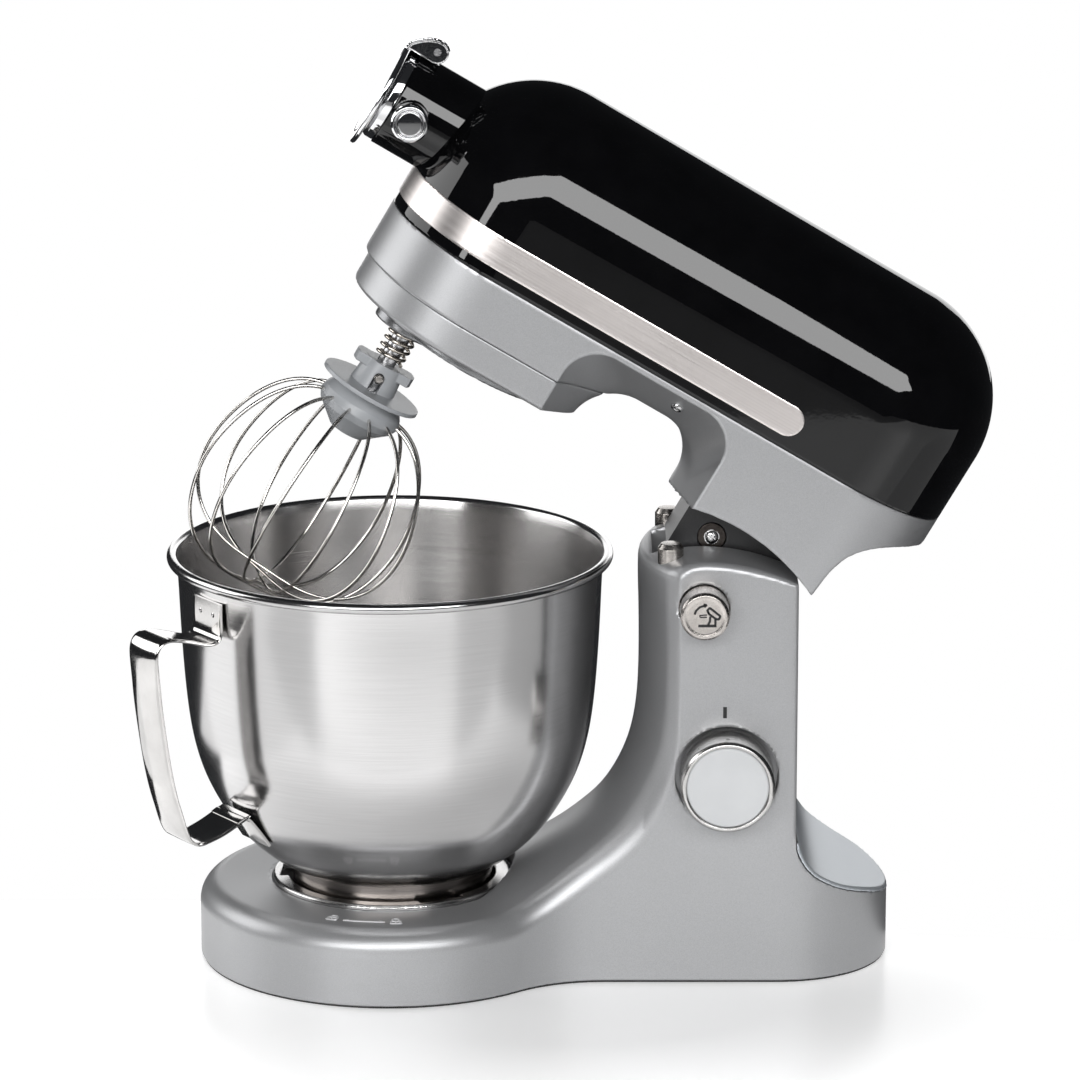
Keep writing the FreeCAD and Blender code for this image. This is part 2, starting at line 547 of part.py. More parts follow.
head["gearbox_bridge"] = bridge
head["main_bearings"] = solids([tube(12.0, 7.04, (0, 0, 264), (0, 0, 1), 10), tube(12.0, 7.04, (0, 0, 300), (0, 0, 1), 7)])
rg = cyl(60.0, (0, 0, 251), (0, 0, 1), 13).cut(gear(RING_N, MOD, 250, 265, add=1.25 * MOD, ded=0.9 * MOD, thin=-0.08))
head["ring_gear"] = rg.cut(T3)

# motor
mx = MOTOR_X
rods = [(mx + a * 31, b * 31) for a in (-1, 1) for b in (-1, 1)]
mplate = prism_xy([(mx - 46, -40), (mx + 30, -54), (mx + 46, -50), (mx + 46, 50), (mx + 30, 54), (mx - 46, 40)], 296, 300)
mframe = fuse([mplate] + [cyl(3.0, (x, y, 298), (0, 0, 1), 64) for x, y in rods] +
              [prism_xy([(mx - 35, -8), (mx - 35, 8), (mx - 34, 34), (mx - 28, 34), (mx, 16), (mx + 28, 34), (mx + 34, 34), (mx + 35, 8),
                         (mx + 35, -8), (mx + 34, -34), (mx + 28, -34), (mx, -16), (mx - 28, -34), (mx - 34, -34)], 360, 364)])
mframe = mframe.cut(cyl(9.0, (mx, 0, 290), (0, 0, 1), 15)).cut(cyl(8.0, (mx, 0, 355), (0, 0, 1), 15))
head["motor_frame"] = mframe
head["motor_bearings"] = solids([tube(9.0, 4.04, (mx, 0, 296), (0, 0, 1), 4), tube(8.0, 4.04, (mx, 0, 360), (0, 0, 1), 4)])
stator = cyl(39.5, (mx, 0, 302), (0, 0, 1), 42).cut(cyl(25.0, (mx, 0, 300), (0, 0, 1), 50))
coil = [tube(33, 26, (mx, 0, 342), (0, 0, 1), 8)]
stator = fuse([stator, tube(39.5, 34, (mx, 0, 300), (0, 0, 1), 3)] + coil)
for x, y in rods:
    stator = stator.cut(cyl(3.2, (x, y, 295), (0, 0, 1), 70))
head["motor_stator"] = stator


def belt_wire(r1, r2, d, z):
    a = math.acos((r1 - r2) / d)
    c, s = math.cos(a), math.sin(a)
    return Part.Wire([arc((r1 * c, r1 * s, z), (-r1, 0, z), (r1 * c, -r1 * s, z)),
                      line((r1 * c, -r1 * s, z), (d + r2 * c, -r2 * s, z)),
                      arc((d + r2 * c, -r2 * s, z), (d + r2, 0, z), (d + r2 * c, r2 * s, z)),
                      line((d + r2 * c, r2 * s, z), (r1 * c, r1 * s, z))])


g = 0.35
b_out = Part.Face(belt_wire(PULLEY_BIG + g + 2.2, PULLEY_SMALL + g + 2.2, mx, BELT_Z0)).extrude(V(0, 0, BELT_Z1 - BELT_Z0))
b_in = Part.Face(belt_wire(PULLEY_BIG + g, PULLEY_SMALL + g, mx, BELT_Z0 - 1)).extrude(V(0, 0, BELT_Z1 - BELT_Z0 + 2))
head["drive_belt"] = b_out.cut(b_in)

# attachment hub
hub = fuse([cyl(HUB_R, (-101, 0, HUB_Z), (1, 0, 0), 43), cyl(9.0, (-90, -28.6, 329.1), (0, 1, 0), 12),
            box(-99.5, -92.0, -6.6, 6.6, 350, 364.3), cyl(5.0, (LID_X, -6.6, LID_Z), (0, 1, 0), 13.2)])
hub = hub.cut(cyl(HUB_BORE, (-102, 0, HUB_Z), (1, 0, 0), 18)).cut(cyl(12.0, (-90, 0, HUB_Z), (1, 0, 0), 25)).cut(
    cyl(9.0, (-70, 0, HUB_Z), (1, 0, 0), 30))
hub = hub.cut(cyl(3.55, (-90, -40, 329.1), (0, 1, 0), 25)).cut(cyl(2.0, (LID_X, -20, LID_Z), (0, 1, 0), 40))
head["hub_tube"] = max(hub.Solids, key=lambda s: s.Volume)
head["hub_collar"] = tube(26.0, HUB_BORE, (-107, 0, HUB_Z), (1, 0, 0), 6)
head["hub_bush"] = tube(9.0, 6.05, (-65, 0, HUB_Z), (1, 0, 0), 7)
head["lid_pin"] = fuse([cyl(2.0, (LID_X, -11.4, LID_Z), (0, 1, 0), 22.8)])
head["head_screws"] = solids([fuse([cyl(3.4, (x, y, z), (0, 0, 1), 2.0), cyl(1.7, (x, y, z - 9), (0, 0, 1), 10)])
                              for x, y, z in ((mx + 38, 47, 300), (mx + 38, -47, 300), (mx + 7, 50, 300), (mx + 7, -50, 300))])
for x, y in ((mx + 38, 47), (mx + 38, -47), (mx + 7, 50), (mx + 7, -50)):
    head["motor_frame"] = head["motor_frame"].cut(cyl(1.7, (x, y, 280), (0, 0, 1), 25))
    head["head_lower_casing"] = head["head_lower_casing"].cut(cyl(1.7, (x, y, 290.5), (0, 0, 1), 12))

# lid and lock knob
disc = cyl(31.0, (-110.6, 0, 329.6), (1, 0, 0), 2.8)
STRAP = [(-110.6, 352), (-110.6, 359.2), (-109.9, 361.6), (-108.0, 364.3), (-105.0, 367.0), (-101.5, 369.3), (-98.0, 370.7),
         (-94.5, 371.2), (-91.9, 370.7), (-90.07, 369.6), (-88.85, 368.26)]


def inset(path, t):
    out = []
    for i, (x, z) in enumerate(path):
        a, b = path[max(0, i - 1)], path[min(len(path) - 1, i + 1)]
        tx, tz = b[0] - a[0], b[1] - a[1]
        l = math.hypot(tx, tz)
        out.append((x + t * tz / l, z - t * tx / l))
    return out


bracket = prism_xz(STRAP + inset(STRAP, 1.6)[::-1], -12, 12)
half = inset(STRAP, 0.8)
for y in (-11.6, 7.2):
    arm = prism_xz(half[1:9] + [(LID_X, LID_Z), (LID_X, LID_Z - 6.2), (-104, LID_Z - 5.9), (-109.8, LID_Z - 5.9)], y, y + 4.4)
    bracket = fuse([bracket, arm, cyl(6.2, (LID_X, y, LID_Z), (0, 1, 0), 4.4)])
bracket = bracket.cut(cyl(2.05, (LID_X, -20, LID_Z), (0, 1, 0), 40)).cut(cyl(31.0, (-115, 0, 329.6), (1, 0, 0), 7.2))
nodes_lid = {"hub_lid": disc, "lid_bracket": max(bracket.Solids, key=lambda s: s.Volume)}
lock = fuse([cyl(10.0, (-90, -42, 329.1), (0, 1, 0), 9.6), cyl(3.5, (-90, -36, 329.1), (0, 1, 0), 15.2)])
lock = lock.cut(tube(7.6, 6.6, (-90, -43, 329.1), (0, 1, 0), 1.6))
nodes_lock = {"hub_lock_knob": lock}

# rotating pieces
nodes_rot = {}
nodes_rot["motor_shaft"] = cyl(4.0, (mx, 0, 281), (0, 0, 1), 95)
rotor = cyl(24.4, (mx, 0, 304), (0, 0, 1), 38)
for i in range(12):
    a = 2 * math.pi * i / 12
    n = box(18.5, 30, -1.5, 1.5, 303, 343)
    n.rotate(V(0, 0, 0), V(0, 0, 1), 30 * i)
    n.translate(V(mx, 0, 0))
    rotor = rotor.cut(n)
comm = cyl(12.5, (mx, 0, 345), (0, 0, 1), 12)
nodes_rot["motor_rotor"] = fuse([rotor, cyl(9, (mx, 0, 341), (0, 0, 1), 5), comm]).cut(cyl(4.0, (mx, 0, 300), (0, 0, 1), 70))
fan = fuse([cyl(8, (mx, 0, 366.5), (0, 0, 1), 6), cyl(26, (mx, 0, 366.5), (0, 0, 1), 1.4)] +
           [(lambda b, i: (b.rotate(V(mx, 0, 0), V(0, 0, 1), 40 * i), b)[1])(box(mx + 7, mx + 26, -0.7, 0.7, 366.5, 372.5), i)
            for i in range(9)])
nodes_rot["motor_fan"] = fan.cut(cyl(4.0, (mx, 0, 360), (0, 0, 1), 20))
nodes_rot["motor_pulley"] = cyl(PULLEY_SMALL, (mx, 0, 283), (0, 0, 1), 10).cut(cyl(4.0, (mx, 0, 280), (0, 0, 1), 20))

nodes_main = {}
nodes_main["main_shaft"] = cyl(7.0, (0, 0, 238), (0, 0, 1), 82)
mp = fuse([tube(PULLEY_BIG, 36, (0, 0, 283), (0, 0, 1), 10), cyl(12, (0, 0, 283), (0, 0, 1), 10), cyl(40, (0, 0, 286), (0, 0, 1), 3)])
for i in range(6):
    mp = mp.cut(cyl(7.5, (24 * math.cos(i * math.pi / 3), 24 * math.sin(i * math.pi / 3), 280), (0, 0, 1), 20))
nodes_main["main_pulley"] = mp.cut(cyl(7.0, (0, 0, 280), (0, 0, 1), 20))
carrier = fuse([cyl(53.0, (0, 0, 227), (0, 0, 1), 8.5), cyl(45.0, (0, 0, 235), (0, 0, 1), 14.5),
                cyl(11.0, (-ORBIT, 0, 225.2), (0, 0, 1), 3)])
carrier = carrier.cut(cyl(42.0, (0, 0, 238.5), (0, 0, 1), 20))
carrier = fuse([carrier, cyl(14.0, (0, 0, 230), (0, 0, 1), 19.5),
                cyl(12.0, (-ORBIT, 0, 230), (0, 0, 1), 19.5).common(cyl(45.0, (0, 0, 220), (0, 0, 1), 60)),
                box(-40, 40, -3, 3, 236, 246)])
carrier = carrier.cut(cyl(7.0, (0, 0, 238), (0, 0, 1), 30)).cut(cyl(5.06, (-ORBIT, 0, 200), (0, 0, 1), 80))
nodes_main["planet_carrier"] = carrier

nodes_tool = {}
tsh = fuse([cyl(5.0, (-ORBIT, 0, 181), (0, 0, 1), 83), cyl(8.0, (-ORBIT, 0, 249.8), (0, 0, 1), 2.1)])
tsh = tsh.cut(cyl(2.2, (-ORBIT, -20, 197), (0, 1, 0), 40))
nodes_tool["tool_shaft"] = tsh
nodes_tool["cross_pin"] = cyl(2.2, (-ORBIT, -12.4, 197), (0, 1, 0), 24.8)
pg = gear(PLANET_N, MOD, 252, 262, thin=0.08)
pg.translate(V(-ORBIT, 0, 0))
nodes_tool["planet_gear"] = pg.cut(cyl(5.0, (-ORBIT, 0, 240), (0, 0, 1), 30))

# bevel pair for the attachment drive, cone apex on both axes
def bevel(n, r_big, face, w_deg):
    # axis +Z, apex at the origin, teeth towards the apex below it
    z_big, z_small = -r_big, -(r_big - face)
    body = revolve([(0, z_big), (r_big - 2.4, z_big), (r_big - face - 1.6, z_small), (0, z_small)])
    teeth = []
    for i in range(n):
        t = prism_xz([(r_big - 4.0, z_big), (r_big + 0.9, z_big + 0.05), (r_big - face + 0.55, z_small - 0.3),
                      (r_big - face - 3.0, z_small - 0.3)], -0.5 * math.radians(w_deg) * r_big, 0.5 * math.radians(w_deg) * r_big)
        cut_l = prism_xy([(0, 0), (40, 40 * math.tan(math.radians(w_deg / 2))), (40, -40 * math.tan(math.radians(w_deg / 2)))], -40, 5)
        t = t.common(cut_l)
        t.rotate(V(0, 0, 0), V(0, 0, 1), 360.0 * i / n)
        teeth.append(t)
    return fuse([body] + teeth)


NB = 12
dv = bevel(NB, 18.0, 6.0, 10.0)
dv.translate(V(0, 0, HUB_Z))
nodes_main["drive_bevel"] = fuse([dv, cyl(11, (0, 0, 309.5), (0, 0, 1), 4.5)]).cut(cyl(7.0, (0, 0, 300), (0, 0, 1), 20.0))
pb = bevel(NB, 18.0, 6.0, 10.0)
pb.rotate(V(0, 0, 0), V(0, 0, 1), 180.0 / NB)
pb.rotate(V(0, 0, 0), V(0, 1, 0), 90)
pb.translate(V(0, 0, HUB_Z))
pto = fuse([cyl(6.0, (-83.6, 0, HUB_Z), (1, 0, 0), 69.6), pb, cyl(9.5, (-57.4, 0, HUB_Z), (1, 0, 0), 4)])
sq = box(-86, -70, -4, 4, HUB_Z - 4, HUB_Z + 4)
nodes_pto = {"attachment_shaft": fuse([pto, cyl(9.0, (-83.6, 0, HUB_Z), (1, 0, 0), 15.6)]).cut(sq)}

# whisk
wz0 = 62.0
hub_w = revolve([(7.0, 204.5), (11.5, 204.5), (13.0, 189.6), (28.3, 189.3), (28.3, 187.1), (18.5, 186.3), (22.5, 180), (23.6, 175.5),
                 (21.5, 171.5), (10, 161.5), (0, 160), (0, 172), (5.2, 172), (5.2, 188), (5.25, 204.5)][1:], -ORBIT, 0)
wings = []
for s in (-1, 1):
    wings.append(tube(17.5, 11.0, (-ORBIT, 0, 199.3), (0, 0, 1), 5.2).common(
        box(-ORBIT + (2 if s > 0 else -24), -ORBIT + (24 if s > 0 else -2), -12, 12, 190, 210)))
hub_w = fuse([hub_w] + [w.cut(cyl(11.0, (-ORBIT, 0, 190), (0, 0, 1), 30)) for w in wings])
slot = fuse([cyl(2.9, (-ORBIT, -20, 197.2), (0, 1, 0), 40), cyl(2.9, (-ORBIT, -20, 190.6), (0, 1, 0), 40),
             box(-ORBIT - 2.9, -ORBIT + 2.9, -20, 20, 190.6, 197.2)])
hub_w = hub_w.cut(slot.common(cyl(16.5, (-ORBIT, 0, 150), (0, 0, 1), 80)))
LOOP = [(19.5, 177.5), (26.7, 175.9), (37.0, 170.7), (47.3, 160.1), (55.1, 145.6), (59.8, 129.6), (WHISK_R, 114.2), (58.7, 98.2),
        (52.5, 83.2), (41.0, 70.7), (23.8, 63.5)]
wires = []
for i in range(6):
    dz = 2.3 * i
    pts = [(r, z + dz * max(0.0, min(1.0, (112 - z) / 54.0))) for r, z in LOOP]
    mid = (0.0, wz0 + dz - 0.4)
    full_p = [V(-r, 0, z) for r, z in pts] + [V(0, 0, mid[1])] + [V(r, 0, z) for r, z in pts[::-1]]
    c = Part.BSplineCurve()
    c.interpolate(full_p)
    e = c.toShape()
    w = Part.Wire([e])
    t0 = e.tangentAt(e.FirstParameter)
    prof = Part.Wire(Part.makeCircle(1.0, full_p[0], t0))
    s = w.makePipeShell([prof], True, True)
    s.rotate(V(0, 0, 0), V(0, 0, 1), 15 + 30 * i)
    s.translate(V(-ORBIT, 0, 0))
    wires.append(s)
hub_env = revolve([(0, 150), (0, 210), (13, 210), (13, 189.6), (28.3, 189.3), (28.3, 187.1), (18.5, 186.3), (22.5, 180), (23.6, 175.5),
                   (21.5, 171.5), (10, 161.5), (0, 160)][1:11] + [(0, 160)], -ORBIT, 0)
wires = [w.cut(hub_env) for w in wires]
wires = [max(w.Solids, key=lambda s: s.Volume) for w in wires]
nodes_whisk = {"whisk_hub": max(hub_w.Solids, key=lambda s: s.Volume), "whisk_wires": solids(wires)}
tsp = spring(7.6, 0.85, 4.3, 17.0)
tsp.translate(V(-ORBIT, 0, 206.4))
nodes_spring = {"tool_spring": tsp}

# turn every head piece to the raised pose
for group in (head, nodes_lid, nodes_lock, nodes_rot, nodes_main, nodes_tool, nodes_pto, nodes_whisk, nodes_spring):
    for k, s in group.items():
        s = s.copy()
        s.rotate(V(HX, 0, HZ), V(0, 1, 0), TILT)
        nodes[k] = s

for k, s in nodes.items():
    s = s.copy()
    s.translate(V(-X_OFF, 0, 0))
    nodes[k] = s
    s.exportStep("parts/" + k + ".step")

bb = FreeCAD.BoundBox()
for k, s in nodes.items():
    bb.add(s.BoundBox)
    ok = s.isValid()
    print("%-22s solids %2d  vol %10.0f  %s" % (k, len(s.Solids), s.Volume, "" if ok else "INVALID"))
print("nodes", len(nodes), "box", bb)
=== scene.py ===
import bpy
import json
import math
import numpy as np
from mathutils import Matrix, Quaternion, Vector


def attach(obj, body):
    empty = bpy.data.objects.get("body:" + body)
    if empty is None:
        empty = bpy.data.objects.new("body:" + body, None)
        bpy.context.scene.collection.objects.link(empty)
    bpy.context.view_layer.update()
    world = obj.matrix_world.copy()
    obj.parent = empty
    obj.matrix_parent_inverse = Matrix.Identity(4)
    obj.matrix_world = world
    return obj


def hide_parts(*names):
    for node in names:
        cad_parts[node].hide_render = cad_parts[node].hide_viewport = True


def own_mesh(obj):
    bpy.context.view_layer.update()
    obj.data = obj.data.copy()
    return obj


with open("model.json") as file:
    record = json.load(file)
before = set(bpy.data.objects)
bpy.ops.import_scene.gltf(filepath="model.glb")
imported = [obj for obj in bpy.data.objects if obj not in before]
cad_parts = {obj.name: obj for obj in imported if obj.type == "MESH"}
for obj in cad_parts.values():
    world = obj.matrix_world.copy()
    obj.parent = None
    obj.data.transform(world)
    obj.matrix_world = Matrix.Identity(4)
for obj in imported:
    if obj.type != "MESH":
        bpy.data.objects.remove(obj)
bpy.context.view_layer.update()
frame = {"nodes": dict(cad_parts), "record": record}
NODES = frame["nodes"]

# ------------------------------------------------------------------ frames
# Shapes are drawn in millimetres with the bowl axis at x = y = 0. Head pieces
# are drawn with the head closed and then turned about the hinge pin.
XO, TH, HX, HZ = 93.47, math.radians(30.5), 209.0, 208.0
CT, ST = math.cos(TH), math.sin(TH)
ORBIT = 33.0


def place(P, head):
    P = np.asarray(P, float)
    x, y, z = P[:, 0], P[:, 1], P[:, 2]
    if head:
        dx, dz = x - HX, z - HZ
        x, z = HX + dx * CT + dz * ST, HZ - dx * ST + dz * CT
    return np.stack([x - XO, y, z], 1) * 0.001


def turn(N, head):
    if not head:
        return N
    return np.stack([N[:, 0] * CT + N[:, 2] * ST, N[:, 1], -N[:, 0] * ST + N[:, 2] * CT], 1)


# ------------------------------------------------------------------ mesh helpers
def piece(name, V, polys, mats, body, node=None, head=False, cn=None, sharp=38.0, mat_index=None):
    V = place(V, head)
    me = bpy.data.meshes.new(name)
    polys = [np.asarray(p, np.int32) for p in polys if len(p)]
    loops = np.concatenate([p.ravel() for p in polys])
    tot = np.concatenate([np.full(len(p), p.shape[1], np.int64) for p in polys])
    start = np.concatenate([[0], np.cumsum(tot)[:-1]]).astype(np.int32)
    me.vertices.add(len(V))
    me.vertices.foreach_set("co", V.astype(np.float32).ravel())
    me.loops.add(len(loops))
    me.loops.foreach_set("vertex_index", loops.astype(np.int32))
    me.polygons.add(len(start))
    me.polygons.foreach_set("loop_start", start)
    me.polygons.foreach_set("use_smooth", np.ones(len(start), bool))
    if mat_index is not None:
        me.polygons.foreach_set("material_index", np.asarray(mat_index, np.int32))
    me.update(calc_edges=True)
    for m in mats if isinstance(mats, (list, tuple)) else [mats]:
        me.materials.append(m)
    if cn is not None:
        n = turn(cn, head)
        n = n / np.maximum(np.linalg.norm(n, axis=1, keepdims=True), 1e-12)
        me.normals_split_custom_set(n.tolist())
    else:
        me.set_sharp_from_angle(angle=math.radians(sharp))
    ob = bpy.data.objects.new(name, me)
    bpy.context.scene.collection.objects.link(ob)
    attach(ob, body)
    if node:
        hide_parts(*([node] if isinstance(node, str) else node))
    return ob


def signed_volume(V, polys):
    v = 0.0
    for p in polys:
        p = np.asarray(p)
        for i in range(1, p.shape[1] - 1):
            a, b, c = V[p[:, 0]], V[p[:, i]], V[p[:, i + 1]]
            v += np.einsum("ij,ij->i", a, np.cross(b, c)).sum()
    return v


def outward(V, polys):
    c = V - V.mean(0)
    return [p[:, ::-1] for p in polys] if signed_volume(c, polys) < 0 else polys


def rounded(pts, seg=6, closed=False):
    """Polyline (a, b, radius) with its corners rounded."""
    out, n = [], len(pts)
    for i, p in enumerate(pts):
        r = p[2] if len(p) > 2 else 0.0
        q = np.array(p[:2], float)
        if r <= 0 or (not closed and i in (0, n - 1)):
            out.append(q)
            continue
        a = np.array(pts[i - 1][:2], float) - q
        b = np.array(pts[(i + 1) % n][:2], float) - q
        la, lb = np.linalg.norm(a), np.linalg.norm(b)
        a, b = a / la, b / lb
        half = 0.5 * math.acos(max(-1.0, min(1.0, float(a @ b))))
        t = min(r / math.tan(half), 0.49 * la, 0.49 * lb)
        r = t * math.tan(half)
        mid = (a + b) / np.linalg.norm(a + b)
        c = q + mid * (r / math.sin(half))
        p0, p1 = q + a * t - c, q + b * t - c
        a0, a1 = math.atan2(p0[1], p0[0]), math.atan2(p1[1], p1[0])
        d = (a1 - a0 + math.pi) % (2 * math.pi) - math.pi
        for k in range(seg + 1):
            w = a0 + d * k / seg
            out.append(c + r * np.array([math.cos(w), math.sin(w)]))
    return np.array(out)


def revolve(prof, n, put, ring=False):
    """Turn a profile of (radius, height); put maps (r cos, r sin, h) to x, y, z. Without ring it starts and ends on the axis."""
    prof = np.asarray(prof, float)
    ph = np.arange(n) * (2 * math.pi / n)
    V, rows = [], []
    for r, h in prof:
        if r < 1e-6:
            rows.append(np.full(n, len(V)))
            V.append((0.0, 0.0, h))
        else:
            rows.append(len(V) + np.arange(n))
            V += [(r * c, r * s, h) for c, s in zip(np.cos(ph), np.sin(ph))]
    V = np.array(V)
    q, t = [], []
    pairs = list(zip(rows[:-1], rows[1:])) + ([(rows[-1], rows[0])] if ring else [])
    for a, b in pairs:
        a1, b1 = np.roll(a, -1), np.roll(b, -1)
        if a[0] == a[-1] and b[0] == b[-1]:
            continue
        if a[0] == a[-1]:
            t.append(np.stack([a, b1, b], 1))
        elif b[0] == b[-1]:
            t.append(np.stack([a, a1, b], 1))
        else:
            q.append(np.stack([a, a1, b1, b], 1))
    polys = ([np.concatenate(q)] if q else []) + ([np.concatenate(t)] if t else [])
    W = np.stack(put(V[:, 0], V[:, 1], V[:, 2]), 1)
    return W, outward(W, polys)


def about_z(cx, cy):
    return lambda a, b, h: (cx + a, cy + b, h)


def about_y(cx, cz):
    return lambda a, b, h: (cx + a, h, cz + b)


def about_x(cy, cz):
    return lambda a, b, h: (h, cy + a, cz + b)


def spline(pts, n, closed=False):
    """Natural cubic through the points by chord length, n samples."""
    P = np.asarray(pts, float)
    d = np.linalg.norm(np.diff(P, axis=0), axis=1)
    t = np.concatenate([[0], np.cumsum(d)])
    m = len(P)
    A = np.zeros((m, m))
    B = np.zeros((m, P.shape[1]))
    A[0, 0] = A[-1, -1] = 1
    for i in range(1, m - 1):
        h0, h1 = t[i] - t[i - 1], t[i + 1] - t[i]
        A[i, i - 1], A[i, i], A[i, i + 1] = h0, 2 * (h0 + h1), h1
        B[i] = 6 * ((P[i + 1] - P[i]) / h1 - (P[i] - P[i - 1]) / h0)
    M = np.linalg.solve(A, B)
    s = np.linspace(0, t[-1], n)
    i = np.clip(np.searchsorted(t, s, side="right") - 1, 0, m - 2)
    h = (t[i + 1] - t[i])[:, None]
    a, b = (t[i + 1] - s)[:, None] / h, (s - t[i])[:, None] / h
    return a * P[i] + b * P[i + 1] + ((a ** 3 - a) * M[i] + (b ** 3 - b) * M[i + 1]) * h * h / 6


def frames_along(P, first=None):
    T = np.gradient(P, axis=0)
    T /= np.linalg.norm(T, axis=1, keepdims=True)
    u = np.array(first if first is not None else ([0, 0, 1.0] if abs(T[0][2]) < 0.9 else [1.0, 0, 0]), float)
    u = u - T[0] * (u @ T[0])
    u /= np.linalg.norm(u)
    U = [u]
    for i in range(1, len(P)):
        u = u - T[i] * (u @ T[i])
        u = u / np.linalg.norm(u)
        U.append(u)
    U = np.array(U)
    return T, U, np.cross(T, U)


def sweep(P, sec, first=None, cap=True):
    """Closed section (k, 2) along a path; sec may be (m, k, 2) to change along it."""
    P = np.asarray(P, float)
    T, U, W = frames_along(P, first)
    sec = np.asarray(sec, float)
    if sec.ndim == 2:
        sec = np.repeat(sec[None], len(P), 0)
    k = sec.shape[1]
    V = P[:, None, :] + sec[:, :, :1] * U[:, None, :] + sec[:, :, 1:] * W[:, None, :]
    V = V.reshape(-1, 3)
    i = np.arange(len(P) - 1)[:, None] * k
    j = np.arange(k)[None]
    j1 = (j + 1) % k
    q = np.stack([i + j, i + j1, i + k + j1, i + k + j], -1).reshape(-1, 4)
    polys = [q]
    if cap:
        V = np.concatenate([V, P[:1], P[-1:]])
        a, b = len(V) - 2, len(V) - 1
        jj = np.arange(k)
        jn = (jj + 1) % k
        e = (len(P) - 1) * k
        polys.append(np.concatenate([np.stack([np.full(k, a), jn, jj], 1), np.stack([np.full(k, b), e + jj, e + jn], 1)]))
    return V, outward(V, polys)


def circle(r, n=12):
    a = np.arange(n) * 2 * math.pi / n
    return np.stack([r * np.cos(a), r * np.sin(a)], 1)


def join(parts):
    V, quads, tris, o = [], [], [], 0
    for v, polys in parts:
        V.append(v)
        for p in polys:
            (quads if p.shape[1] == 4 else tris).append(p + o)
        o += len(v)
    return np.concatenate(V), ([np.concatenate(quads)] if quads else []) + ([np.concatenate(tris)] if tris else [])


def stroke(pts, wide, thick, normal):
    """Flat bar along a path; normal is the direction of its thickness."""
    e, w = 0.5 * thick, 0.5 * wide
    c = 0.3 * min(e, w)
    sec = [(-e, -w), (e - c, -w), (e, -w + c), (e, w - c), (e - c, w), (-e, w)]
    P = np.asarray(pts, float)
    return sweep(P, sec, first=normal)


# ------------------------------------------------------------------ distance fields
def rmax(a, b, r):
    u, v = np.maximum(a + r, 0), np.maximum(b + r, 0)
    return np.minimum(-r, np.maximum(a, b)) + np.sqrt(u * u + v * v)


def rmin(a, b, r):
    return -rmax(-a, -b, r)


def rsub(a, b, r):
    return rmax(a, -b, r)


def step(a, b, x):
    t = np.clip((x - a) / (b - a), 0, 1)
    return t * t * (3 - 2 * t)


def poly_d(px, pz, poly):
    poly = np.asarray(poly, float)
    best = np.full(px.shape, 1e18)
    odd = np.zeros(px.shape, bool)
    for a, b in zip(poly, np.roll(poly, -1, 0)):
        e = b - a
        wx, wz = px - a[0], pz - a[1]
        t = np.clip((wx * e[0] + wz * e[1]) / max(e @ e, 1e-12), 0, 1)
        best = np.minimum(best, (wx - e[0] * t) ** 2 + (wz - e[1] * t) ** 2)
        up = (a[1] <= pz) != (b[1] <= pz)
        with np.errstate(divide="ignore", invalid="ignore"):
            cross = a[0] + (pz - a[1]) * e[0] / (e[1] if e[1] != 0 else 1e-12)
        odd ^= up & (px < cross)
    d = np.sqrt(best)
    return np.where(odd, -d, d)


class Field2:
    """Distance to a closed polygon, kept on a grid and read with a smooth kernel."""

    def __init__(self, poly, lo, hi, h):
        self.h, self.lo = h, np.array(lo, float) - 3 * h
        nx, nz = [int(math.ceil((b - a) / h)) + 8 for a, b in zip(lo, hi)]
        gx, gz = np.meshgrid(self.lo[0] + h * np.arange(nx), self.lo[1] + h * np.arange(nz), indexing="ij")
        self.g = poly_d(gx, gz, poly).ravel()
        self.n = (nx, nz)

    def __call__(self, x, z):
        fx, fz = (x - self.lo[0]) / self.h, (z - self.lo[1]) / self.h
        fx, fz = np.clip(fx, 1.0, self.n[0] - 2.001), np.clip(fz, 1.0, self.n[1] - 2.001)
        i, j = fx.astype(np.int64), fz.astype(np.int64)
        tx, tz = fx - i, fz - j

        def kern(t):
            s = 1 - t
            return s * s * s / 6, (4 - 6 * t * t + 3 * t * t * t) / 6, (4 - 6 * s * s + 3 * s * s * s) / 6, t * t * t / 6

        kx, kz = kern(tx), kern(tz)
        base = (i - 1) * self.n[1] + (j - 1)
        out = 0.0
        for a in range(4):
            row = 0.0
            for b in range(4):
                row = row + kz[b] * self.g[base + a * self.n[1] + b]
            out = out + kx[a] * row
        return out


TETRA = np.array([[1, -1, -1], [-1, -1, 1], [-1, 1, -1], [1, 1, 1]], float)


def grad(f, P, e):
    g = np.zeros_like(P)
    for k in TETRA:
        g += k * f(P + e * k)[:, None]
    return g / np.maximum(np.linalg.norm(g, axis=1, keepdims=True), 1e-12)


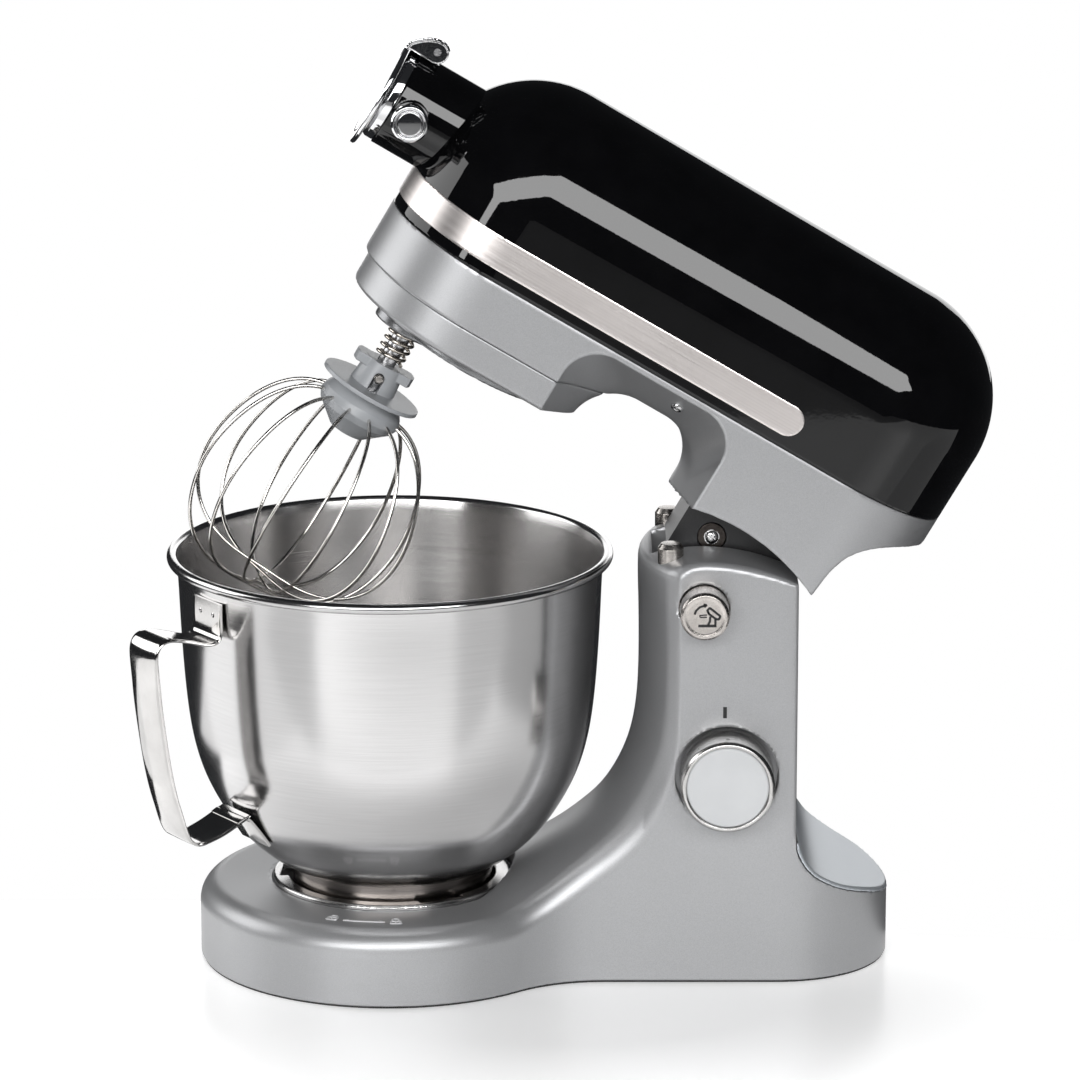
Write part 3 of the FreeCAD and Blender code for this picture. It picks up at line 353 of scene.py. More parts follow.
def contour(f, lo, hi, h, B=8, lip=1.0):
    """Closed quad mesh of f = 0 with exact corner normals."""
    lo, hi = np.array(lo, float) - 1.37 * h, np.array(hi, float) + 1.71 * h
    n = np.ceil((hi - lo) / (h * B)).astype(int)
    bi = np.stack(np.meshgrid(*[np.arange(k) for k in n], indexing="ij"), -1).reshape(-1, 3)
    d = np.concatenate([f(lo + (b + 0.5) * B * h) for b in np.array_split(bi, max(1, len(bi) // 60000))])
    bi = bi[np.abs(d) < lip * B * h * 0.8661 + 1.5 * h]
    off = np.stack(np.meshgrid(*[np.arange(B + 1)] * 3, indexing="ij"), -1).reshape(-1, 3)
    vals = np.concatenate([f((lo + (b[:, None, :] * B + off[None]) * h).reshape(-1, 3)).reshape(len(b), B + 1, B + 1, B + 1)
                           for b in np.array_split(bi, max(1, len(bi) // 300))])
    vals = np.where(vals == 0, 1e-9, vals)
    ins = vals < 0
    N = n * B + 1
    G, AX, V0, V1 = [], [], [], []
    for ax in range(3):
        s0 = [slice(None)] * 4
        s1 = [slice(None)] * 4
        s0[ax + 1], s1[ax + 1] = slice(0, B), slice(1, B + 1)
        w = np.argwhere(ins[tuple(s0)] != ins[tuple(s1)])
        e = np.zeros(3, int)
        e[ax] = 1
        G.append(bi[w[:, 0]] * B + w[:, 1:])
        AX.append(np.full(len(w), ax))
        V0.append(vals[w[:, 0], w[:, 1], w[:, 2], w[:, 3]])
        V1.append(vals[w[:, 0], w[:, 1] + e[0], w[:, 2] + e[1], w[:, 3] + e[2]])
    G, AX, V0, V1 = np.concatenate(G), np.concatenate(AX), np.concatenate(V0), np.concatenate(V1)
    key = ((G[:, 0] * N[1] + G[:, 1]) * N[2] + G[:, 2]) * 3 + AX
    _, first = np.unique(key, return_index=True)
    G, AX, V0, V1 = G[first], AX[first], V0[first], V1[first]
    E = np.eye(3)[AX]
    ta, tb, fa, fb = np.zeros(len(G)), np.ones(len(G)), V0.copy(), V1.copy()
    for _ in range(3):
        t = np.clip(ta + (tb - ta) * fa / (fa - fb), 0, 1)
        ft = f(lo + (G + t[:, None] * E) * h)
        same = (ft < 0) == (fa < 0)
        ta, fa = np.where(same, t, ta), np.where(same, ft, fa)
        tb, fb = np.where(same, tb, t), np.where(same, fb, ft)
        fa, fb = np.where(np.abs(fa) < 1e-12, -1e-12 * np.sign(fb), fa), np.where(np.abs(fb) < 1e-12, -1e-12 * np.sign(fa), fb)
    t = np.clip(ta + (tb - ta) * fa / (fa - fb), 0, 1)
    X = lo + (G + t[:, None] * E) * h
    NR = grad(f, X, 0.04 * h)
    U, W = (AX + 1) % 3, (AX + 2) % 3
    eu, ew = np.eye(3, dtype=int)[U], np.eye(3, dtype=int)[W]
    cells = np.stack([G - eu - ew, G - ew, G, G - eu], 1)
    cid = (cells[..., 0] * N[1] + cells[..., 1]) * N[2] + cells[..., 2]
    ids, inv = np.unique(cid.ravel(), return_inverse=True)
    inv = inv.reshape(-1, 4)
    m = len(ids)
    flat = inv.ravel()
    rep = np.repeat(np.arange(len(G)), 4)
    cnt = np.bincount(flat, minlength=m).astype(float)
    mass = np.stack([np.bincount(flat, X[rep, k], m) for k in range(3)], 1) / cnt[:, None]
    A = np.zeros((m, 3, 3))
    nn = NR[rep]
    dn = np.einsum("ij,ij->i", nn, X[rep] - mass[flat])
    bvec = np.stack([np.bincount(flat, nn[:, k] * dn, m) for k in range(3)], 1)
    for a in range(3):
        for b in range(a, 3):
            A[:, a, b] = A[:, b, a] = np.bincount(flat, nn[:, a] * nn[:, b], m)
    lam, Q = np.linalg.eigh(A)
    il = np.where(lam > 0.06 * lam[:, 2:3], 1 / np.maximum(lam, 1e-12), 0)
    x = np.einsum("ijk,ik,ilk,il->ij", Q, il, Q, bvec)
    cell0 = np.stack([ids // (N[1] * N[2]), (ids // N[2]) % N[1], ids % N[2]], 1)
    low = lo + cell0 * h
    V = np.clip(mass + x, low, low + h)
    keep = f(V)
    g = grad(f, V, 0.04 * h)
    flatc = lam[:, 1] < 0.06 * lam[:, 2]
    V = np.where(flatc[:, None], np.clip(V - g * np.clip(keep, -0.5 * h, 0.5 * h)[:, None], low, low + h), V)
    quads = np.where((V0 < 0)[:, None], inv, inv[:, ::-1])
    C = V[quads]
    cen = C.mean(1, keepdims=True)
    pts = (C + 0.35 * (cen - C)).reshape(-1, 3)
    cn = np.concatenate([grad(f, p, 0.04 * h) for p in np.array_split(pts, max(1, len(pts) // 200000))])
    return V, [quads], cn


def solid(name, f, lo, hi, h, mats, body, node=None, head=False, lip=1.0, pick=None):
    V, polys, cn = contour(f, lo, hi, h, lip=lip)
    mi = None
    if pick is not None:
        mi = pick(V[polys[0]].mean(1))
    return piece(name, V, polys, mats, body, node, head, cn=cn, mat_index=mi)


def box_d(x, y, z, x0, x1, y0, y1, z0, z1, r=0.0):
    qx = np.abs(x - 0.5 * (x0 + x1)) - 0.5 * (x1 - x0) + r
    qy = np.abs(y - 0.5 * (y0 + y1)) - 0.5 * (y1 - y0) + r
    qz = np.abs(z - 0.5 * (z0 + z1)) - 0.5 * (z1 - z0) + r
    out = np.sqrt(np.maximum(qx, 0) ** 2 + np.maximum(qy, 0) ** 2 + np.maximum(qz, 0) ** 2)
    return out + np.minimum(np.maximum(qx, np.maximum(qy, qz)), 0) - r


def rect2(a, b, a0, a1, b0, b1, r):
    qa = np.abs(a - 0.5 * (a0 + a1)) - 0.5 * (a1 - a0) + r
    qb = np.abs(b - 0.5 * (b0 + b1)) - 0.5 * (b1 - b0) + r
    return np.hypot(np.maximum(qa, 0), np.maximum(qb, 0)) + np.minimum(np.maximum(qa, qb), 0) - r


def disc_d(rad, h, r, h0, h1, e):
    """Round bar: radius r, from h0 to h1, edges rounded by e."""
    q = np.abs(h - 0.5 * (h0 + h1)) - 0.5 * (h1 - h0)
    return rmax(rad - r, q, e)


# ------------------------------------------------------------------ materials
def new_mat(name):
    m = bpy.data.materials.new(name)
    m.use_nodes = True
    nt = m.node_tree
    return m, nt, nt.nodes["Principled BSDF"]


def node(nt, kind, **kw):
    n = nt.nodes.new(kind)
    for k, v in kw.items():
        setattr(n, k, v)
    return n


def link(nt, a, b):
    nt.links.new(a, b)


def coords(nt, head=False, scale=(1, 1, 1)):
    tc = node(nt, "ShaderNodeTexCoord")
    out = tc.outputs["Object"]
    if head:
        m = node(nt, "ShaderNodeMapping")
        m.inputs["Rotation"].default_value = (0, -TH, 0)
        link(nt, out, m.inputs["Vector"])
        out = m.outputs["Vector"]
    if tuple(scale) != (1, 1, 1):
        m = node(nt, "ShaderNodeMapping")
        m.inputs["Scale"].default_value = scale
        link(nt, out, m.inputs["Vector"])
        out = m.outputs["Vector"]
    return out


def noise(nt, vec, scale, detail=3.0, rough=0.55):
    n = node(nt, "ShaderNodeTexNoise")
    n.inputs["Scale"].default_value = scale
    n.inputs["Detail"].default_value = detail
    n.inputs["Roughness"].default_value = rough
    link(nt, vec, n.inputs["Vector"])
    return n.outputs["Fac"]


def remap(nt, val, a, b, lo=0.3, hi=0.7):
    n = node(nt, "ShaderNodeMapRange")
    n.inputs["From Min"].default_value = lo
    n.inputs["From Max"].default_value = hi
    n.inputs["To Min"].default_value = a
    n.inputs["To Max"].default_value = b
    link(nt, val, n.inputs["Value"])
    return n.outputs["Result"]


def ramp(nt, val, stops):
    n = node(nt, "ShaderNodeValToRGB")
    el = n.color_ramp.elements
    while len(el) < len(stops):
        el.new(0.5)
    for e, (p, c) in zip(el, stops):
        e.position = p
        e.color = (*c, 1.0)
    link(nt, val, n.inputs["Fac"])
    return n.outputs["Color"]


def bump(nt, bsdf, val, strength, dist):
    n = node(nt, "ShaderNodeBump")
    n.inputs["Strength"].default_value = strength
    n.inputs["Distance"].default_value = dist
    link(nt, val, n.inputs["Height"])
    link(nt, n.outputs["Normal"], bsdf.inputs["Normal"])


def round_coords(nt, cx, k_round, k_z, head=False):
    """Coordinates that run round an upright axis at x = cx and up it."""
    sep = node(nt, "ShaderNodeSeparateXYZ")
    link(nt, coords(nt, head), sep.inputs[0])
    sx = node(nt, "ShaderNodeMath", operation="SUBTRACT")
    sx.inputs[1].default_value = cx
    link(nt, sep.outputs[0], sx.inputs[0])
    at = node(nt, "ShaderNodeMath", operation="ARCTAN2")
    link(nt, sep.outputs[1], at.inputs[0])
    link(nt, sx.outputs[0], at.inputs[1])
    ka = node(nt, "ShaderNodeMath", operation="MULTIPLY")
    ka.inputs[1].default_value = k_round
    link(nt, at.outputs[0], ka.inputs[0])
    kz = node(nt, "ShaderNodeMath", operation="MULTIPLY")
    kz.inputs[1].default_value = k_z
    link(nt, sep.outputs[2], kz.inputs[0])
    cmb = node(nt, "ShaderNodeCombineXYZ")
    link(nt, ka.outputs[0], cmb.inputs[0])
    link(nt, kz.outputs[0], cmb.inputs[2])
    return cmb.outputs[0]


def paint(name, dark, light, metallic, rough, coat=0.0):
    m, nt, b = new_mat(name)
    b.inputs["Metallic"].default_value = metallic
    b.inputs["Coat Weight"].default_value = coat
    b.inputs["Coat Roughness"].default_value = 0.25
    c = coords(nt)
    flake = noise(nt, c, 2600.0, 2.0, 0.6)
    wide = noise(nt, c, 9.0, 2.0)
    mixf = node(nt, "ShaderNodeMath", operation="MULTIPLY_ADD")
    mixf.inputs[1].default_value = 0.22
    link(nt, wide, mixf.inputs[0])
    link(nt, flake, mixf.inputs[2])
    link(nt, ramp(nt, mixf.outputs[0], [(0.38, dark), (0.82, light)]), b.inputs["Base Color"])
    link(nt, remap(nt, flake, rough - 0.05, rough + 0.05), b.inputs["Roughness"])
    bump(nt, b, flake, 0.05, 0.0002)
    return m


def gloss(name, col, rough, ripple=0.02):
    m, nt, b = new_mat(name)
    b.inputs["Specular IOR Level"].default_value = 0.5
    c = coords(nt)
    haze = noise(nt, c, 55.0, 3.0)
    peel = noise(nt, c, 420.0, 1.0)
    link(nt, ramp(nt, haze, [(0.3, col), (0.75, tuple(1.35 * k + 0.0006 for k in col))]), b.inputs["Base Color"])
    link(nt, remap(nt, haze, rough * 0.8, rough * 1.25), b.inputs["Roughness"])
    bump(nt, b, peel, ripple, 0.0002)
    return m


def plastic(name, dark, light, rough, grain=1800.0, amount=0.12):
    m, nt, b = new_mat(name)
    c = coords(nt)
    g = noise(nt, c, grain, 2.0)
    w = noise(nt, c, 26.0, 3.0)
    link(nt, ramp(nt, w, [(0.3, dark), (0.7, light)]), b.inputs["Base Color"])
    link(nt, remap(nt, g, rough - 0.06, rough + 0.06), b.inputs["Roughness"])
    bump(nt, b, g, amount, 0.0002)
    return m


def metal(name, dark, light, rough, spread, vec_of, strength=0.06, detail=5.0, turned=0.0):
    """Metal with fine lines along one direction; vec_of gives the stretched coordinates. turned spreads the gloss across lines cut on a lathe."""
    m, nt, b = new_mat(name)
    b.inputs["Metallic"].default_value = 1.0
    if turned:
        tg = node(nt, "ShaderNodeTangent", direction_type="RADIAL", axis="Z")
        link(nt, tg.outputs[0], b.inputs["Tangent"])
        b.inputs["Anisotropic"].default_value = turned
        b.inputs["Anisotropic Rotation"].default_value = 0.25
    v = vec_of(nt)
    line = noise(nt, v, 1.0, detail, 0.62)
    wide = noise(nt, coords(nt), 14.0, 3.0)
    link(nt, ramp(nt, line, [(0.28, dark), (0.72, light)]), b.inputs["Base Color"])
    mx = node(nt, "ShaderNodeMath", operation="MULTIPLY_ADD")
    mx.inputs[1].default_value = 0.35
    link(nt, wide, mx.inputs[0])
    link(nt, line, mx.inputs[2])
    link(nt, remap(nt, mx.outputs[0], rough - spread, rough + spread, 0.4, 0.95), b.inputs["Roughness"])
    if strength > 0:
        bump(nt, b, line, strength, 0.0002)
    return m


def polished(name, dark, light, rough, scale=60.0):
    m, nt, b = new_mat(name)
    b.inputs["Metallic"].default_value = 1.0
    c = coords(nt)
    w = noise(nt, c, scale, 4.0)
    s = noise(nt, c, 900.0, 2.0)
    link(nt, ramp(nt, w, [(0.3, dark), (0.7, light)]), b.inputs["Base Color"])
    link(nt, remap(nt, s, rough * 0.7, rough * 1.4), b.inputs["Roughness"])
    bump(nt, b, s, 0.012, 0.0001)
    return m


BOWL_X = -XO / 1000
M = {}
M["silver"] = paint("silver_paint", (0.345, 0.348, 0.356), (0.435, 0.439, 0.448), 0.66, 0.40)
M["deck"] = paint("rear_deck", (0.50, 0.535, 0.57), (0.58, 0.615, 0.65), 0.55, 0.36)
M["black"] = gloss("black_gloss", (0.0016, 0.0016, 0.0019), 0.03)
M["bowl"] = metal("bowl_steel", (0.525, 0.520, 0.520), (0.595, 0.590, 0.590), 0.175, 0.035,
                  lambda nt: round_coords(nt, BOWL_X, 2.2, 1500.0), 0.008, turned=0.2)
M["bowl_in"] = metal("bowl_inside", (0.58, 0.57, 0.565), (0.70, 0.69, 0.685), 0.24, 0.04,
                     lambda nt: round_coords(nt, BOWL_X, 1.2, 3200.0), 0.010, turned=0.85)
M["handle"] = polished("handle_steel", (0.52, 0.51, 0.50), (0.60, 0.59, 0.58), 0.10)
M["ring"] = metal("ring_steel", (0.42, 0.415, 0.41), (0.54, 0.535, 0.53), 0.20, 0.05,
                  lambda nt: round_coords(nt, BOWL_X, 3.0, 1800.0), 0.015)
# The bowl's foot ring is steel darkened and browned: painted shade and painted brown reflection for the gap under the
# bowl.
M["foot"] = metal("foot_steel_painted_shade", (0.15, 0.135, 0.125), (0.27, 0.245, 0.23), 0.20, 0.05,
                  lambda nt: round_coords(nt, BOWL_X, 3.0, 1800.0), 0.02)
M["band"] = metal("band_steel", (0.70, 0.655, 0.635), (0.80, 0.755, 0.735), 0.33, 0.06,
                  lambda nt: coords(nt, True, (6.0, 6.0, 3600.0)), 0.035)
M["knob"] = metal("knob_steel", (0.56, 0.55, 0.54), (0.66, 0.65, 0.64), 0.24, 0.05,
                  lambda nt: coords(nt, False, (300.0, 1500.0, 300.0)), 0.02)
M["button"] = polished("button_steel", (0.53, 0.495, 0.47), (0.61, 0.575, 0.545), 0.22, 300.0)
M["chrome"] = polished("bright_chrome", (0.72, 0.72, 0.73), (0.84, 0.84, 0.85), 0.055)
M["wire"] = polished("wire_steel", (0.62, 0.60, 0.57), (0.78, 0.76, 0.73), 0.13, 220.0)
M["spring"] = polished("spring_steel", (0.48, 0.44, 0.39), (0.66, 0.61, 0.55), 0.20, 300.0)
M["machined"] = metal("machined_steel", (0.40, 0.40, 0.41), (0.66, 0.66, 0.67), 0.28, 0.08,
                      lambda nt: coords(nt, False, (400.0, 400.0, 900.0)), 0.06)
M["bronze"] = metal("bearing_bronze", (0.42, 0.28, 0.13), (0.62, 0.44, 0.22), 0.34, 0.08,
                    lambda nt: coords(nt, False, (500.0, 120.0, 500.0)), 0.06)
M["cast"] = paint("cast_alloy", (0.42, 0.43, 0.44), (0.60, 0.61, 0.62), 0.9, 0.48)
M["dark"] = plastic("dark_plastic", (0.020, 0.020, 0.022), (0.035, 0.035, 0.038), 0.48)
M["rubber"] = plastic("black_rubber", (0.012, 0.012, 0.012), (0.022, 0.022, 0.022), 0.72, 1200.0, 0.25)
M["pale"] = plastic("pale_plastic", (0.285, 0.297, 0.312), (0.345, 0.357, 0.372), 0.34, 1500.0, 0.06)
M["cap"] = plastic("cap_plastic", (0.50, 0.51, 0.52), (0.55, 0.56, 0.57), 0.34, 2200.0, 0.05)
M["green"] = plastic("board_green", (0.015, 0.10, 0.045), (0.03, 0.17, 0.075), 0.40, 700.0, 0.15)
# The raised marks are painted lighter than the base silver: a painted highlight on the relief.
M["mark"] = paint("raised_mark_painted_highlight", (0.60, 0.60, 0.61), (0.70, 0.70, 0.71), 0.25, 0.32)
# The planet carrier is a darker copy of the silver paint: painted shade for the shade under the head.
M["carrier"] = paint("carrier_painted_shade", (0.20, 0.203, 0.21), (0.28, 0.283, 0.29), 0.85, 0.30)
M["print"] = plastic("dark_print", (0.006, 0.006, 0.007), (0.012, 0.012, 0.013), 0.55, 2500.0, 0.05)

M["tongue"] = paint("dark_casting", (0.012, 0.012, 0.013), (0.022, 0.022, 0.023), 0.0, 0.36)
# The washer by the tongue bolt is steel coloured nearly black: painted shade for the shade beside the hinge block.
M["washer"] = metal("washer_steel_painted_shade", (0.035, 0.030, 0.027), (0.075, 0.066, 0.060), 0.34, 0.08,
                    lambda nt: coords(nt, False, (500.0, 500.0, 500.0)), 0.04)
M["screw"] = polished("screw_steel", (0.55, 0.55, 0.55), (0.72, 0.72, 0.72), 0.16, 400.0)
M["pin"] = metal("pin_steel", (0.34, 0.32, 0.30), (0.56, 0.53, 0.50), 0.24, 0.06,
                 lambda nt: coords(nt, False, (160.0, 160.0, 2600.0)), 0.05)

SLOT_MAT = {"silver_paint": "silver", "black_gloss": "black", "brushed_steel": "handle", "bright_chrome": "chrome",
            "dark_plastic": "dark", "pale_plastic": "pale", "board_green": "green", "black_rubber": "rubber",
            "machined_steel": "machined", "bearing_bronze": "bronze", "cast_alloy": "cast"}
for sp in frame["record"]["subparts"]:
    ob = NODES[sp["node"]]
    ob.data.materials.clear()
    ob.data.materials.append(M[SLOT_MAT[sp["material_slot"]]])
# Foot ring: steel darkened with painted shade and reflection.
NODES["bowl_foot_ring"].data.materials[0] = M["foot"]
NODES["hinge_tongue"].data.materials[0] = M["tongue"]

# ------------------------------------------------------------------ base
LOBE_R, SIDE_Y, NECK_X, REAR_CX = 104.5, 61.0, 115.0, 208.5
RC0 = (NECK_X ** 2 + SIDE_Y ** 2 - LOBE_R ** 2) / (2 * (LOBE_R - SIDE_Y))
NECK_Y = SIDE_Y + RC0


def plan(x, y):
    ay = np.abs(y)
    d = np.where(x > REAR_CX, np.hypot(x - REAR_CX, ay) - SIDE_Y, ay - SIDE_Y)
    neck = RC0 - np.hypot(x - NECK_X, ay - NECK_Y)
    lobe = np.hypot(x, ay) - LOBE_R
    return np.where(NECK_X * ay - NECK_Y * x > 0, lobe, np.where(x < NECK_X, neck, d))


def crown(x, r=113.0):
    return 120.0 + math.sqrt(r * r - (x - 166.0) ** 2)


SWEEP = [(20, 42), (35, 42.6), (48, 45.5), (60, 50), (72, 56), (84, 63.5), (96, 72.5), (109.5, 85), (120, 100), (128.5, 120),
         (132.8, 144), (133.8, 170), (133.5, 200), (133.2, 216), (133.3, 222.5)]
DECK = [(217.5, 84), (222, 69), (228, 61), (236, 55.3), (246, 50.3), (256, 46.3), (264, 42.3), (275, 36.5)]
side = [(-140, -20), (-140, 42)] + [tuple(p) for p in spline(SWEEP, 90)]
side += [(134.0, 225.6), (135.6, 227.9), (138.4, 229.2)] + [(x, crown(x)) for x in np.linspace(141, 217.5, 40)]
side += [(217.5, 150)] + [tuple(p) for p in spline(DECK, 60)] + [(290, 28.5), (290, -20)]
SIDE = Field2(side, (-125, -4), (285, 245), 1.0)


def base_top(x, y, z):
    ay = np.minimum(np.abs(y), 104.0)
    b = 110.0 - np.sqrt(110.0 ** 2 - ay ** 2)
    return SIDE(x - b * (1 - step(150.0, 175.0, x)), z)


def base_outer(P):
    x, y, z = P.T
    d1 = plan(x, y)
    d2 = base_top(x, y, z)
    r = np.interp(x, [-200, 136, 160, 196, 211, 221, 300], [12, 12, 4.5, 4.5, 3.0, 1.3, 1.3])
    return rmax(rmax(d1, d2, r), 1.3 - z, 1.0)


def panel(y, z):
    return rect2(y, z, -46.0, 46.0, 86.0, 190.0, 7.0)


def housing(P):
    x, y, z = P.T
    d = base_outer(P)
    rad = np.hypot(x, y)
    d = rsub(d, np.maximum(rad - 65.3, 40.5 - z), 0.5)
    d = rsub(d, np.maximum(rad - 60.5, 36.0 - z), 0.4)
    d = rsub(d, np.maximum(rad - 66.6, 42.2 - z), 1.0)
    rd = np.hypot(x - 180.0, z - 115.5)
    d = rsub(d, np.maximum(rd - 27.6, y + 50.0), 0.9)
    rb = np.hypot(x - 167.4, z - 208.0)
    d = rsub(d, np.maximum(rb - 13.6, y + 57.0), 0.7)
    d = np.maximum(d, -np.maximum(rb - 14.3, np.maximum(y + 46.0, -57.4 - y)))
    d = rsub(d, np.maximum(np.maximum(140.5 - x, np.abs(y) - 23.5), 190.5 - z), 0.9)
    d = np.maximum(d, -np.maximum(plan(x, y) + 3.0, z - 5.2))
    d = rsub(d, np.maximum(217.5 - x, -(SIDE(x, z) + 2.3)), 0.25)
    d = rsub(d, np.maximum(panel(y, z) - 0.45, 215.4 - x), 0.25)
    return d


def rear_cover(P):
    x, y, z = P.T
    o = base_outer(P)
    deck = rmax(rmax(o, 217.9 - x, 0.5), -(SIDE(x, z) + 1.8), 0.4)
    back = rmax(o, np.maximum(panel(y, z), 215.6 - x), 0.5)
    return np.minimum(deck, back)


solid("base_body", housing, (-105, -105, 0.6), (271, 105, 234), 1.9, M["silver"], "base", "base_housing")
solid("rear_deck", rear_cover, (214, -62, 20), (271, 62, 192), 1.3, M["deck"], "base", "rear_cover")


# A black band round the bottom edge of the base, not a real part: painted shade standing in for the shadow gap under
# the base.
def skirt(P):
    x, y, z = P.T
    d = plan(x, y)
    return rmax(np.maximum(d + 0.9, -(d + 2.7)), np.abs(z - 0.85) - 0.62, 0.2)


solid("base_shadow_band", skirt, (-105, -105, 0.1), (271, 105, 1.7), 0.8, M["rubber"], "base")


def seat(P):
    x, y, z = P.T
    rad = np.hypot(x, y)
    d = rect2(rad, z, 56.0, 65.0, 38.0, 44.5, 1.9)
    d = rmax(d, 40.5 - z, 0.3)
    for a in (58, 178, 298):
        c, s = math.cos(math.radians(a)), math.sin(math.radians(a))
        u, v = x * c + y * s, -x * s + y * c
        d = rsub(d, np.maximum(np.abs(v) - 12.5, np.abs(u - 57.1) - 3.1), 0.4)
    return d


solid("seat_ring", seat, (-65.5, -65.5, 40), (65.5, 65.5, 45), 0.8, M["ring"], "base", "bowl_seat_ring")

parts = []
for y in (-39.0, 39.0):
    prof = rounded([(0, 221), (6.9, 221, 0.3), (6.9, 235.9, 0.4), (5.1, 238.4, 0.4), (0, 238.4)])
    parts.append(revolve(prof, 64, about_z(150.0, y)))
V, polys = join(parts)
piece("locating_pins", V, polys, M["pin"], "base", "alignment_pins")

# ------------------------------------------------------------------ dial and button
prof = rounded([(0, -79.6), (21.95, -79.6, 0.1), (21.95, -81.6, 0.3), (22.6, -82.0, 0.3), (23.6, -82.0, 1.2), (25.0, -80.2, 1.6), (25.0, -55.0, 0.5),
                (21.5, -55.0, 0.3), (21.5, -66.0, 0.3), (0, -66.0)], 8)
V, polys = revolve(prof, 160, about_y(180.0, 115.5))
piece("dial_knob", V, polys, M["knob"], "dial", "speed_knob")
prof = rounded([(0, -82.3), (12, -82.3, 6.0), (20.9, -81.95, 1.0), (21.75, -81.2, 0.4), (21.75, -79.7, 0.2), (0, -79.7)], 8)
V, polys = revolve(prof, 128, about_y(180.0, 115.5))
piece("dial_cap", V, polys, M["cap"], "dial", "knob_cap")

prof = rounded([(0, -77.6), (9.4, -77.7, 3.0), (10.6, -78.0, 0.5), (11.6, -78.0, 0.7), (13.0, -76.6, 1.2), (13.0, -55.5, 0.1), (13.8, -55.5, 0.3),
                (13.8, -53.1, 0.3), (3.2, -53.1, 0.2), (3.2, -66.0, 0.2), (0, -66.0)], 8)
V, polys = revolve(prof, 128, about_y(167.4, 208.0))
piece("release_button", V, polys, M["button"], "button", "tilt_button")

th = np.linspace(0, 13.4 / 3.3 * 2 * math.pi, 150)
P = np.stack([167.4 + 6.4 * np.cos(th), np.linspace(-52.3, -38.9, 150), 208.0 + 6.4 * np.sin(th)], 1)
V, polys = sweep(P, circle(0.7, 12))
coil = piece("return_spring", V, polys, M["spring"], "base", "button_spring", sharp=60)
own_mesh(coil)

OUT = (0.0, -1.0, 0.0)


def on_button(pts, wide, r=0.5):
    p = rounded([(a, b, 0 if k in (0, len(pts) - 1) else r) for k, (a, b) in enumerate(pts)], 4)
    return stroke([(167.4 + a, -77.68, 207.1 + b) for a, b in p], 1.3 * wide, 0.24, OUT)


# pictogram: a mixer with its head swung up
icon = [on_button([(-3.6, -3.8), (6.0, -3.8)], 1.15),
        on_button([(2.7, 1.3), (2.5, -1.4), (1.4, -3.6)], 0.95),
        on_button([(5.4, 0.1), (5.4, -3.6)], 0.95),
        on_button([(2.0, 2.7), (1.1, 4.6), (2.4, 6.0), (8.0, 1.5), (7.2, -0.3), (5.6, 0.0), (2.0, 2.7), (1.5, 3.7)], 0.95),
        on_button([(-5.6, 2.4), (-4.8, 4.5), (-2.8, 6.4), (0.2, 7.4)], 0.9, 2.0),
        on_button([(-0.9, 8.0), (0.7, 7.5), (-0.5, 6.3)], 0.8, 0.1),
        on_button([(-2.9, 1.9), (1.0, 2.2)], 0.5), on_button([(-2.9, 1.9), (-2.6, 0.8), (0.9, 0.9)], 0.5)]
V, polys = join(icon)
piece("button_icon", V, polys, M["print"], "button")

V, polys = stroke(np.linspace((178.8, -60.95, 148.0), (178.8, -60.95, 154.2), 6), 2.0, 0.3, OUT)
piece("dial_mark", V, polys, M["print"], "base")

# small figures round the rim of the knob, read from above
FIG = {"0": [(-0.7, -1), (-0.7, 1), (0.7, 1), (0.7, -1), (-0.7, -1)], "1": [(-0.4, 0.6), (0.1, 1), (0.1, -1)],
       "2": [(-0.7, 0.7), (0, 1), (0.7, 0.5), (-0.7, -1), (0.7, -1)], "3": [(-0.7, 1), (0.6, 1), (0, 0.1), (0.7, -0.5), (0, -1), (-0.7, -0.8)],
       "4": [(0.4, -1), (0.4, 1), (-0.7, -0.4), (0.8, -0.4)], "5": [(0.7, 1), (-0.6, 1), (-0.6, 0.1), (0.5, 0.1), (0.7, -0.5), (0.3, -1), (-0.7, -1)],
       "6": [(0.6, 1), (-0.4, 0.6), (-0.7, -0.4), (-0.4, -1), (0.5, -1), (0.6, -0.2), (-0.6, -0.1)]}
figs = []
for i, ch in enumerate("0123456"):
    a0 = math.radians(-38.0 * i)
    pts = []
    for u, v in rounded([(u, v, 0.15) for u, v in FIG[ch]], 2):
        a = a0 + 0.9 * u / 25.0
        pts.append((180.0 + 25.03 * math.sin(a), -75.4 + 1.1 * v, 115.5 + 25.03 * math.cos(a)))
    figs.append(stroke(pts, 0.32, 0.14, (math.sin(a0), 0.0, math.cos(a0))))
V, polys = join(figs)
piece("dial_figures", V, polys, M["print"], "dial")

# closed and open padlock with a line between them, raised on the base round the bowl seat and coloured lighter than the
# base as a painted highlight
def on_base(pts, wide, r=0.4):
    p = rounded([(a, b, 0 if k in (0, len(pts) - 1) else r) for k, (a, b) in enumerate(pts)], 4)
    return stroke([(b * math.cos(a), b * math.sin(a), 42.1) for a, b in p], wide, 0.7, (0.0, 0.0, 1.0))


def padlock(deg, rad, lift):
    a0 = math.radians(deg)
    k = 1.0 / rad
    at = lambda u, v: (a0 + u * k, rad - v)
    s = [on_base([at(-2.6, -3.2), at(2.6, -3.2), at(2.6, 0.4), at(-2.6, 0.4), at(-2.6, -3.2), at(-2.0, -3.2)], 1.0),
         on_base([at(-1.8, 0.6 + lift), at(-1.8, 2.2 + lift), at(-0.9, 3.2 + lift), at(0.9, 3.2 + lift), at(1.8, 2.2 + lift), at(1.8, 0.6)], 0.9, 0.8),
         on_base([at(0.0, -2.2), at(0.0, -0.6)], 0.9)]
    return s


